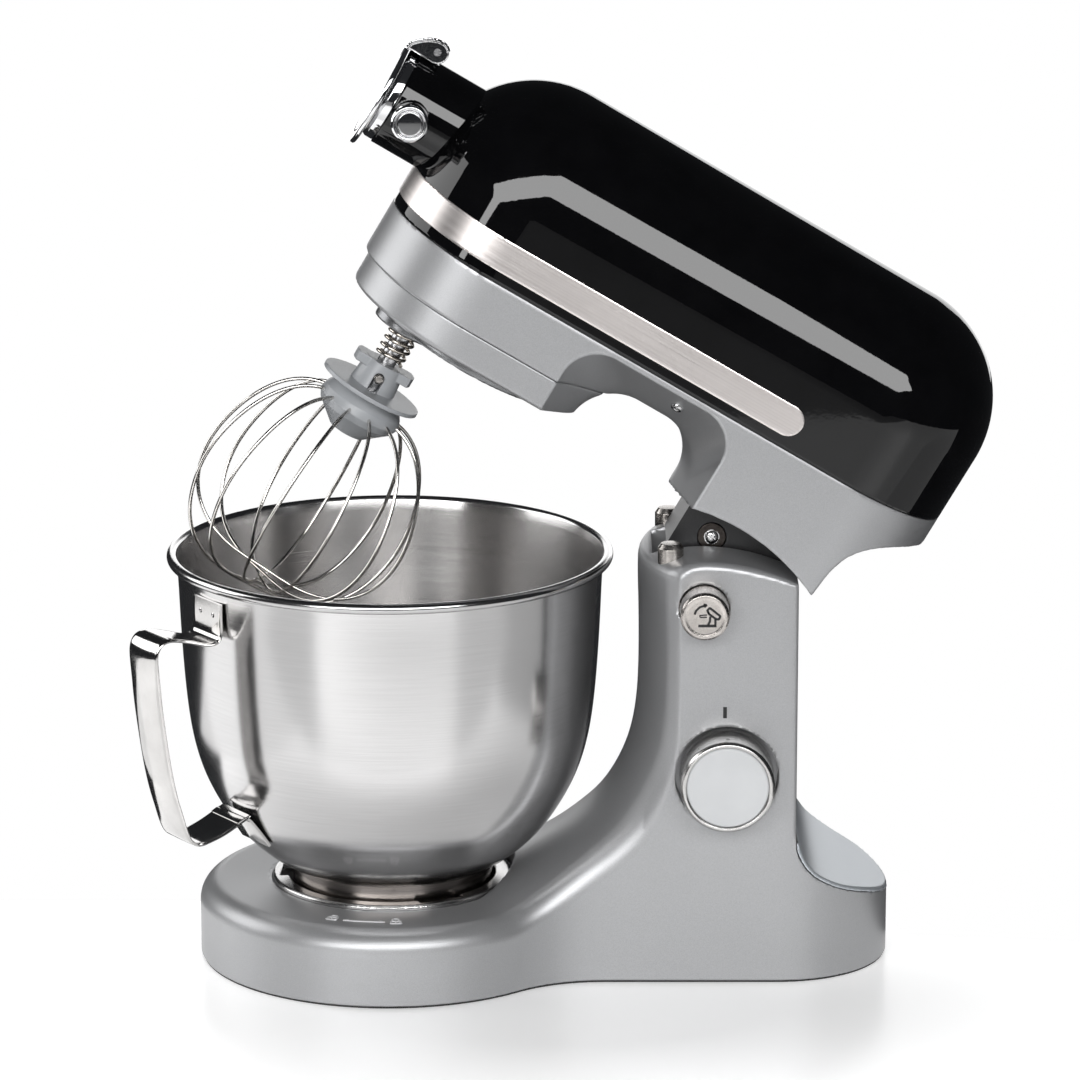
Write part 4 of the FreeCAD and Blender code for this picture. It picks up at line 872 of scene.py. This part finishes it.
marks = padlock(-111.0, 82.5, 0.0) + padlock(-87.3, 84.0, 1.4)
marks.append(on_base([(math.radians(d), 84.6) for d in np.linspace(-106.5, -91.3, 14)], 1.1, 0.0))
marks.append(on_base([(math.radians(-106.3), 84.6), (math.radians(-104.6), 83.4)], 0.8))
marks.append(on_base([(math.radians(-91.5), 84.6), (math.radians(-93.2), 83.4)], 0.8))
V, polys = join(marks)
piece("base_marks", V, polys, M["mark"], "base")

# ------------------------------------------------------------------ bowl
PROF = [(40, 49.5), (52, 50.9), (62, 55.3), (72, 62.5), (83, 73.5), (93, 88), (101, 104), (106.5, 122),
        (110, 145), (112, 170), (113.3, 195), (114.2, 214), (114.8, 222)]
outer = spline(PROF, 110)
tang = np.gradient(outer, axis=0)
tang /= np.linalg.norm(tang, axis=1, keepdims=True)
inner = outer + np.stack([-tang[:, 1], tang[:, 0]], 1) * 1.0
# the sheet runs up the inside, rolls outwards over the top and ends under the bead
roll = np.linspace(math.radians(168), math.radians(-135), 44)
bead = np.stack([117.2 + 2.8 * np.cos(roll), 222.9 + 2.8 * np.sin(roll)], 1)
prof = np.concatenate([[[0, 49.5]], outer[:-1], [[114.75, 221.4]], bead[::-1], inner[::-1][1:], [[0, 50.5]]])
prof = prof[np.concatenate([[True], np.linalg.norm(np.diff(prof, axis=0), axis=1) > 1e-4])]
V, polys = revolve(prof, 288, about_z(0.0, 0.0))
zc = [V[p].mean(1) for p in polys]
mi = []
ri_z, ri_r = inner[:, 1], inner[:, 0]
for c in zc:
    r = np.hypot(c[:, 0], c[:, 1])
    lim = np.interp(c[:, 2], ri_z, ri_r)
    mi.append(((c[:, 2] > 50.2) & (c[:, 2] < 222.0) & (r < lim + 0.35)).astype(int))
piece("bowl_body", V, polys, [M["bowl"], M["bowl_in"]], "bowl", "bowl_shell", sharp=50, mat_index=np.concatenate(mi))

HPATH = [(115.3, 214.5), (115.3, 205), (115.4, 198.6), (116.8, 195.0), (120.8, 193.7), (129, 195.3), (139, 198.3), (147.0, 199.6),
         (151.8, 198.3), (154.8, 194.4), (156, 187), (156, 177), (154.8, 162), (152.2, 143), (148.4, 121),
         (143.6, 103.5), (138.6, 92), (134.6, 86.9), (130.6, 85.2), (125, 85.8), (116, 88.2), (107, 92), (99.2, 95.6)]
HA = math.radians(215)
HC, HS = math.cos(HA), math.sin(HA)


def at_handle(r, w, z):
    return np.stack([r * HC - w * HS, r * HS + w * HC, z], -1)


hp = spline(HPATH, 170)
# more points across the width so the grip can be crowned
wide = np.linspace(-13.0, 13.0, 17)
sec0 = np.concatenate([np.stack([wide, np.full(17, -0.9)], 1), [[13.55, -0.62], [13.8, 0.0], [13.55, 0.62]],
                       np.stack([wide[::-1], np.full(17, 0.9)], 1), [[-13.55, 0.62], [-13.8, 0.0], [-13.55, -0.62]]])
ss = np.linspace(0, 1, len(hp))
amp = 2.2 * step(0.26, 0.40, ss) * (1 - step(0.72, 0.84, ss))
tan2 = np.gradient(hp, axis=0)
tan2 /= np.linalg.norm(tan2, axis=1, keepdims=True)
nrm2 = np.stack([-tan2[:, 1], tan2[:, 0]], 1)
out_sign = np.sign(np.einsum("ij,ij->i", nrm2, hp - np.array([125.0, 145.0])))
rows = []
for i in range(len(hp)):
    w, t = sec0[:, 0], sec0[:, 1]
    off = t - 0.0
    crownv = -amp[i] * (w / 13.8) ** 2
    r = hp[i, 0] + nrm2[i, 0] * (off + crownv * out_sign[60])
    z = hp[i, 1] + nrm2[i, 1] * (off + crownv * out_sign[60])
    rows.append(at_handle(r, w, z))
k = len(sec0)
V = np.concatenate(rows)
i = np.arange(len(hp) - 1)[:, None] * k
j = np.arange(k)[None]
q = np.stack([i + j, i + (j + 1) % k, i + k + (j + 1) % k, i + k + j], -1).reshape(-1, 4)
V = np.concatenate([V, rows[0].mean(0)[None], rows[-1].mean(0)[None]])
a, b = len(V) - 2, len(V) - 1
jj = np.arange(k)
e = (len(hp) - 1) * k
t = np.concatenate([np.stack([np.full(k, a), (jj + 1) % k, jj], 1), np.stack([np.full(k, b), e + jj, e + (jj + 1) % k], 1)])
strap = (V, outward(V, [q, t]))


def bent_plate(path, width, thick, edge=0.5):
    p = np.asarray(path, float)
    tg = np.gradient(p, axis=0)
    tg /= np.linalg.norm(tg, axis=1, keepdims=True)
    nr = np.stack([-tg[:, 1], tg[:, 0]], 1)
    hw = np.asarray(width, float) if np.ndim(width) else np.full(len(p), width)
    rows = []
    for i in range(len(p)):
        s = np.array([[-hw[i] + edge, -thick / 2], [hw[i] - edge, -thick / 2], [hw[i], -thick / 2 + edge * 0.6], [hw[i], thick / 2 - edge * 0.6],
                      [hw[i] - edge, thick / 2], [-hw[i] + edge, thick / 2], [-hw[i], thick / 2 - edge * 0.6], [-hw[i], -thick / 2 + edge * 0.6]])
        rows.append(at_handle(p[i, 0] + nr[i, 0] * s[:, 1], s[:, 0], p[i, 1] + nr[i, 1] * s[:, 1]))
    k = 8
    V = np.concatenate(rows)
    i = np.arange(len(p) - 1)[:, None] * k
    j = np.arange(k)[None]
    q = np.stack([i + j, i + (j + 1) % k, i + k + (j + 1) % k, i + k + j], -1).reshape(-1, 4)
    V = np.concatenate([V, rows[0].mean(0)[None], rows[-1].mean(0)[None]])
    a, b = len(V) - 2, len(V) - 1
    jj = np.arange(k)
    e = (len(p) - 1) * k
    t = np.concatenate([np.stack([np.full(k, a), (jj + 1) % k, jj], 1), np.stack([np.full(k, b), e + jj, e + (jj + 1) % k], 1)])
    return V, outward(V, [q, t])


tab = bent_plate(spline([(106.6, 92.6), (101.0, 94.4), (97.2, 91.0), (92.6, 85.2), (86.8, 77.0)], 24), 13.6, 1.8)
prof = rounded([(0, 0.5), (0.8, 0.45, 0.3), (1.5, 0.05, 0.2), (1.7, -0.7), (0, -0.7)], 4)
welds = [revolve(prof, 24, lambda a, b, h, w=w: ((116.2 + h) * HC - (w + a) * HS, (116.2 + h) * HS + (w + a) * HC, 207.6 + b)) for w in (-6.2, 6.2)]
V, polys = join([strap, tab] + welds)
piece("bowl_grip", V, polys, M["handle"], "bowl", "bowl_handle", sharp=42)

# ------------------------------------------------------------------ head shells
HR = 64.0


def stad(x, y, r):
    return np.hypot(x - np.clip(x, -10.0, 200.0), y) - r


def hub_bar(x, y, z, r):
    return np.hypot(y, z - 331.3) - r


def upper(P):
    x, y, z = P.T
    up = np.maximum(z - 320.5, 0)
    d = np.sqrt((x - np.clip(x, -10.0, 200.0)) ** 2 + y * y + up * up) - HR
    d = rmax(d, 283.35 - z, 0.7)
    return rsub(d, np.maximum(hub_bar(x, y, z, 23.0), x + 40.0), 0.6)


solid("top_shell", upper, (-75, -64, 283), (264, 64, 385), 1.7, M["black"], "head", "head_upper_shell", True)


def band(P):
    x, y, z = P.T
    dS = stad(x, y, HR)
    zone = np.hypot(x - np.minimum(x, 158.15), z - 297.55) - 8.35
    d = rmax(np.maximum(dS - 0.2, -(dS + 1.6)), zone, 0.35)
    return rsub(d, hub_bar(x, y, z, 27.3) + 0 * x, 0.3)


solid("steel_band", band, (-75, -65, 288.5), (167, 65, 306.5), 0.95, M["band"], "head", "trim_band", True)

UNDER = [(218.2, 221.5), (219, 230), (220.5, 239), (223.5, 247.5), (229, 254.5), (240, 261.5), (253, 265.6), (268, 267.8)]
low = [(-95, 310), (-95, 253.7), (100, 253.7), (100, 186), (126, 186)]
low += [(126, 221.4)] + [(x, 120 + math.sqrt(114.3 ** 2 - (x - 166) ** 2)) for x in np.linspace(140, 218.2, 36)]
low += [tuple(p) for p in spline(UNDER, 40)[1:]] + [(290, 268.5), (290, 310)]
LOW = Field2(low, (-80, 215), (272, 292), 0.8)


def throat(x, y, z):
    q = (np.abs(y) - 27.0) / 38.0
    t = np.minimum(0.5 * (q + np.sqrt(q * q + 0.03)), 1.1)
    x0, x1 = 65.0 - 22.2 * t, 130.2 + 0.152 * (np.sqrt(y * y + 25.0) - 5.0)
    zt, r = 258.2 + 22.2 * t, 27.0 - 7.0 * t
    qx = np.abs(x - 0.5 * (x0 + x1)) - (0.5 * (x1 - x0) - r)
    qz = z - (zt - r)
    return 0.86 * (np.hypot(np.maximum(qx, 0), np.maximum(qz, 0)) + np.minimum(np.maximum(qx, qz), 0) - r)


def casing(P):
    x, y, z = P.T
    d = rmax(stad(x, y, HR), LOW(x, z), 1.1)
    d = rsub(d, throat(x, y, z), 1.0)
    d = rmax(d, z - 282.85, 0.6)
    px = np.clip(x, 145.5, 150.0)
    hole = np.maximum(np.hypot(x - px, np.abs(y) - 39.0) - 8.2, z - 242.0)
    return rsub(d, hole, 0.8)


solid("lower_casing", casing, (-74, -64, 219), (266, 64, 283), 1.5, M["silver"], "head", "head_lower_casing", True)


def cover(P):
    x, y, z = P.T
    d = rmax(np.hypot(x - np.clip(x, -7.4, 200.0), y) - 63.7, 236.0 - z, 2.6)
    d = rmax(d, np.maximum(z - 253.4, x - 72.0), 0.5)
    d = rsub(d, throat(x, y, z), 1.0)
    return rsub(d, np.maximum(np.hypot(x, y) - 46.0, z - 243.0), 0.5)


solid("gear_case", cover, (-74, -64, 235.5), (73, 64, 254), 1.2, M["silver"], "head", "gear_cover", True)


def hub(P):
    x, y, z = P.T
    r = np.hypot(y, z - 331.3)
    d = rmax(r - 27.0, np.maximum(-101.0 - x, x + 30.0), 1.0)
    boss = rmax(np.hypot(x + 90.0, z - 329.1) - 9.0, np.maximum(-28.6 - y, y + 16.0), 0.8)
    d = rmin(d, boss, 1.2)
    lug = np.minimum(np.maximum(np.abs(x + 95.75) - 3.75, np.maximum(350.0 - z, z - 364.3)), np.hypot(x + 94.5, z - 364.3) - 5.0)
    lug = rmax(lug, np.abs(y) - 6.6, 0.7)
    d = rmin(d, lug, 1.0)
    d = rsub(d, np.maximum(r - 20.0, x + 84.0), 0.6)
    d = np.maximum(d, -np.maximum(r - 12.0, x + 65.0))
    d = np.maximum(d, -np.maximum(np.hypot(x + 90.0, z - 329.1) - 3.8, y + 15.0))
    return np.maximum(d, -(np.hypot(x + 94.5, z - 364.3) - 2.0))


solid("hub_sleeve", hub, (-102, -29, 304), (-29, 28, 370), 0.95, M["black"], "head", "hub_tube", True)

prof = rounded([(20.0, -101.0, 0.2), (26.0, -101.0, 0.3), (26.0, -105.2, 1.0), (25.0, -107.0, 0.8), (21.0, -107.0, 0.8), (20.0, -106.0, 0.5)], 6, True)
V, polys = revolve(prof, 128, about_x(0.0, 331.3), True)
piece("hub_ring", V, polys, M["chrome"], "head", "hub_collar", True)


STRAP = [(-110.6, 352), (-110.6, 359.2), (-109.9, 361.6), (-108.0, 364.3), (-105.0, 367.0), (-101.5, 369.3), (-98.0, 370.7),
         (-94.5, 371.2), (-91.9, 370.7), (-90.07, 369.6), (-88.85, 368.26)]


def inset(path, t):
    p = np.asarray(path, float)
    g = np.array([p[min(len(p) - 1, i + 1)] - p[max(0, i - 1)] for i in range(len(p))])
    g /= np.linalg.norm(g, axis=1, keepdims=True)
    return p + t * np.stack([g[:, 1], -g[:, 0]], 1)


STRAP = spline(STRAP, 60)
LEVER = Field2(np.concatenate([STRAP, inset(STRAP, 1.6)[::-1]]), (-112, 350), (-86, 373), 0.2)
half = inset(STRAP, 0.8)
half = half[(half[:, 1] > 358.6) & (half[:, 0] < -92.0) | (half[:, 0] > -105) & (half[:, 0] < -92.0)]
ARM = Field2(np.concatenate([half, [(-94.5, 364.3), (-94.5, 358.1), (-104, 358.4), (-109.8, 358.4)]]), (-112, 350), (-86, 373), 0.2)


def lid(P):
    x, y, z = P.T
    r = np.hypot(y, z - 329.6)
    d = disc_d(r, x, 31.0, -110.6, -107.8, 1.1)
    d = rsub(d, np.maximum(np.abs(r - 25.2) - 0.7, x + 110.0), 0.3)
    d = rmin(d, rmax(LEVER(x, z), np.abs(y) - 12.0, 0.5), 0.5)
    arm = np.minimum(np.hypot(x + 94.5, z - 364.3) - 6.2, ARM(x, z))
    d = rmin(d, rmax(arm, np.abs(np.abs(y) - 9.4) - 2.2, 0.6), 0.5)
    return np.maximum(d, -(np.hypot(x + 94.5, z - 364.3) - 2.05))


solid("lid_plate", lid, (-111, -31.5, 298), (-88, 31.5, 372), 0.62, M["chrome"], "lid",
      [n for n in ("hub_lid", "lid_bracket") if n in NODES], True)

prof = rounded([(0, -41.6), (6.2, -41.6, 0.5), (6.7, -40.6, 0.2), (7.5, -40.6, 0.2), (8.0, -42.0, 0.5), (9.0, -42.0, 0.8), (10.0, -40.8, 0.8),
                (10.0, -32.4, 0.5), (3.5, -32.4, 0.2), (3.5, -20.8, 0.2), (0, -20.8)], 6)
V, polys = revolve(prof, 96, about_y(-90.0, 329.1))
piece("lock_button", V, polys, M["chrome"], "lock", "hub_lock_knob", True)

def bolt(P):
    x, y, z = P.T
    u, v = x - 162.5, z - 214.5
    r = np.hypot(u, v)
    d = rmax(r - 7.6, np.maximum(-21.4 - y, y + 19.0), 0.5)
    d = rmin(d, rmax(np.hypot(r, 1.65 * (y + 20.6)) - 3.7, y + 20.0, 0.2), 0.3)
    d = np.minimum(d, np.maximum(r - 2.5, np.maximum(-21.0 - y, y + 9.0)))
    cross = np.minimum(np.maximum(np.abs(u) - 0.45, np.abs(v) - 2.2), np.maximum(np.abs(v) - 0.45, np.abs(u) - 2.2))
    return rsub(d, np.maximum(cross, y + 21.7), 0.15)


solid("tongue_screw", bolt, (154.5, -23, 206.5), (170.5, -8.5, 222.5), 0.42, [M["washer"], M["screw"]], "head", "tongue_bolt", True,
      pick=lambda c: (np.hypot(c[:, 0] - 162.5, c[:, 2] - 214.5) < 4.0).astype(int))

def on_throat(a, b, h):
    # axis stands square on the slope inside the arch
    return 106.3 + a, -49.5 - 0.86 * b - 0.51 * h, 271.3 + 0.51 * b - 0.86 * h


prof = rounded([(0, 1.1), (1.0, 1.1, 0.1), (1.3, 0.7, 0.1), (1.7, 1.2, 0.1), (3.0, 1.3, 0.5), (3.6, 0.2, 0.2), (3.6, -1.2), (0, -1.2)], 4)
V, polys = revolve(prof, 48, on_throat)
piece("arch_screw", V, polys, M["screw"], "head", head=True)

# ------------------------------------------------------------------ tool drive
def carrier(P):
    x, y, z = P.T
    r = np.hypot(x, y)
    rt = np.hypot(x + ORBIT, y)
    d = rmax(r - 53.0, np.maximum(231.4 - z, z - 235.5), 1.0)
    d = rmin(d, rmax(rt - 19.0, np.maximum(225.2 - z, z - 233.0), 1.0), 0.8)
    d = np.minimum(d, np.maximum(r - 45.0, np.abs(z - 241.0) - 6.0))
    return np.maximum(d, -(rt - 5.06))


solid("planet_disc", carrier, (-54, -54, 225), (54, 54, 248), 1.3, M["carrier"], "main", "planet_carrier", True)

WPROF = [(0, 204.5), (11.5, 204.5), (13.0, 189.6), (28.3, 189.3), (28.3, 187.1), (18.5, 186.3), (22.5, 180), (23.6, 175.5),
         (21.5, 171.5), (10, 161.5), (0, 160)]
WF = Field2([(-r, z) for r, z in WPROF[::-1]] + WPROF, (-31, 157), (31, 208), 0.3)


def whisk_hub(P):
    x, y, z = P.T
    x = x + ORBIT
    r = np.hypot(x, y)
    d = WF(r, z)
    wing = np.maximum(np.maximum(r - 17.2, 8.0 - np.abs(x)), np.abs(y) - 8.0)
    wing = rmax(wing, np.abs(z - 201.9) - 2.6, 0.5)
    d = rmin(d, wing, 0.6)
    d = np.maximum(d, -np.maximum(r - 5.3, 172.0 - z))
    zs = np.clip(z, 190.6, 197.2)
    slot = np.maximum(np.hypot(x, z - zs) - 2.9, r - 16.5)
    return rsub(d, slot, 0.3)


solid("whisk_boss", whisk_hub, (-62, -29, 159.5), (-4, 29, 205), 0.62, M["pale"], "whisk", "whisk_hub", True)

prof = rounded([(0, -13.7), (1.7, -13.7, 0.2), (2.7, -13.1, 0.5), (2.7, 13.1, 0.5), (1.7, 13.7, 0.2), (0, 13.7)], 5)
V, polys = revolve(prof, 48, about_y(-ORBIT, 197.0))
piece("drive_pin", V, polys, M["pin"], "tool", "cross_pin", True)

LOOP = [(19.5, 177.5), (26.7, 175.9), (37.0, 170.7), (47.3, 160.1), (55.1, 145.6), (59.8, 129.6), (61.1, 114.2), (58.7, 98.2),
        (52.5, 83.2), (41.0, 70.7), (23.8, 63.5)]
parts = []
for i in range(6):
    dz = 2.3 * i
    pts = [(r, z + dz * max(0.0, min(1.0, (112 - z) / 54.0))) for r, z in LOOP]
    full = [(-r, z) for r, z in pts] + [(0.0, 61.6 + dz)] + [(r, z) for r, z in pts[::-1]]
    c = spline(full, 150)
    a = math.radians(15 + 30 * i)
    P = np.stack([c[:, 0] * math.cos(a) - ORBIT, c[:, 0] * math.sin(a), c[:, 1]], 1)
    parts.append(sweep(P, circle(1.0, 12)))
V, polys = join(parts)
piece("whisk_loops", V, polys, M["wire"], "whisk", "whisk_wires", True, sharp=60)

th = np.linspace(0, 17.0 / 4.3 * 2 * math.pi, 170)
zz = np.linspace(206.4, 223.4, 170)
P = np.stack([7.6 * np.cos(th) - ORBIT, 7.6 * np.sin(th), zz], 1)
V, polys = sweep(P, circle(1.0, 12))
coil = piece("push_spring", V, polys, M["spring"], "tool", "tool_spring", True, sharp=60)
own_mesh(coil)

# ------------------------------------------------------------------ stage, light, camera
sc = bpy.context.scene


def stage_sheet(name, corners, near, far, lo, hi, rough, spec, mid=(0.0, 0.0), kx=1.0, tone=0.88, seen=False):
    """White studio sheet whose glow rises from near to far as the oval distance from mid grows from lo to hi; one not seen is a reflector card."""
    me = bpy.data.meshes.new(name)
    me.from_pydata(corners, [], [tuple(range(len(corners)))])
    ob = bpy.data.objects.new(name, me)
    sc.collection.objects.link(ob)
    m, nt, b = new_mat(name)
    b.inputs["Roughness"].default_value = rough
    b.inputs["Specular IOR Level"].default_value = spec
    c = coords(nt)
    link(nt, ramp(nt, noise(nt, c, 3.0, 2.0), [(0.3, (tone, tone, tone)), (0.7, (tone + 0.03, tone + 0.03, tone + 0.03))]), b.inputs["Base Color"])
    mp = node(nt, "ShaderNodeMapping")
    mp.inputs["Location"].default_value = (-mid[0] * kx, -mid[1], 0.0)
    mp.inputs["Scale"].default_value = (kx, 1.0, 0.0)
    link(nt, c, mp.inputs["Vector"])
    ln = node(nt, "ShaderNodeVectorMath", operation="LENGTH")
    link(nt, mp.outputs["Vector"], ln.inputs[0])
    b.inputs["Emission Color"].default_value = (1, 1, 1, 1)
    link(nt, remap(nt, ln.outputs["Value"], near, far, lo, hi), b.inputs["Emission Strength"])
    me.materials.append(m)
    ob.visible_camera = seen
    return ob


# The floor's glow is lowest round mid, just in front of the base: a painted contact shadow under the mixer.
stage_sheet("floor", [(-0.40, -0.30, 0), (0.34, -0.30, 0), (0.34, 0.0, 0), (0.19, 0.02, 0), (0.17, 0.08, 0), (-0.40, 0.08, 0)], 0.19, 0.90, 0.06, 0.26, 0.28, 0.5, (0.0, -0.10), 0.55, seen=True)
stage_sheet("floor_front", [(-1.2, -1.4, 0), (0.95, -1.4, 0), (0.95, -0.30, 0), (-1.2, -0.30, 0)], 0.40, 0.26, 0.35, 1.2, 0.28, 0.5)
stage_sheet("floor_fore", [(-1.2, -2.7, 0), (0.95, -2.7, 0), (0.95, -1.4, 0), (-1.2, -1.4, 0)], 0.05, 0.0, 1.4, 2.0, 0.28, 0.5, tone=0.22)
stage_sheet("floor_left", [(-1.2, -0.30, 0), (-0.40, -0.30, 0), (-0.40, 0.25, 0), (-1.2, 0.28, 0)], 0.60, 0.70, 0.3, 1.0, 0.28, 0.5)
stage_sheet("floor_right", [(0.34, -0.30, 0), (0.95, -0.30, 0), (0.95, -0.03, 0), (0.34, -0.05, 0)], 0.10, 0.35, 0.35, 0.9, 0.28, 0.5)
stage_sheet("backdrop", [(-0.60, 1.72, 0), (1.00, 1.72, 0), (1.00, 1.72, 0.80), (-0.60, 1.72, 0.80)], 1.00, 1.05, 0.0, 2.0, 0.8, 0.1)

w = bpy.data.worlds.new("studio")
sc.world = w
w.use_nodes = True
nt = w.node_tree
bg = nt.nodes["Background"]
bg.inputs["Color"].default_value = (0.022, 0.023, 0.025, 1)
bg.inputs["Strength"].default_value = 1.0
wh = node(nt, "ShaderNodeBackground")
wh.inputs["Color"].default_value = (1, 1, 1, 1)
wh.inputs["Strength"].default_value = 1.0
lp = node(nt, "ShaderNodeLightPath")
mixw = node(nt, "ShaderNodeMixShader")
link(nt, lp.outputs["Is Camera Ray"], mixw.inputs[0])
link(nt, bg.outputs[0], mixw.inputs[1])
link(nt, wh.outputs[0], mixw.inputs[2])
link(nt, mixw.outputs[0], nt.nodes["World Output"].inputs["Surface"])


def softbox(name, loc, aim, sx, sy, power, col=(1, 1, 1), roll=0.0):
    li = bpy.data.lights.new(name, "AREA")
    li.shape = "RECTANGLE"
    li.size, li.size_y = sx, sy
    li.energy = power
    li.color = col
    ob = bpy.data.objects.new(name, li)
    ob.location = loc
    d = Vector(aim) - Vector(loc)
    ob.rotation_mode = "QUATERNION"
    ob.rotation_quaternion = d.to_track_quat("-Z", "Y") @ Quaternion((0, 0, 1), roll)
    sc.collection.objects.link(ob)
    return ob


softbox("key_front", (-0.2, -3.4, 1.84), (-0.2, 0, 1.84), 5.4, 1.42, 185.0, roll=math.radians(6.6))
softbox("side_left", (-1.85, 0.38, 0.95), (0, 0, 0.35), 1.45, 1.15, 15.0)

cam = bpy.data.cameras.new("camera")
cam.sensor_width, cam.lens = 36.0, 192.24
cam.clip_start, cam.clip_end = 0.05, 50.0
co = bpy.data.objects.new("camera", cam)
co.location = (-0.01287, -3.0022, 1.0025)
co.rotation_euler = (math.radians(75.57), 0.0, 0.0)
sc.collection.objects.link(co)
sc.camera = co
sc.view_settings.view_transform = "Standard"
sc.view_settings.look = "None"
sc.view_settings.exposure = 0.0
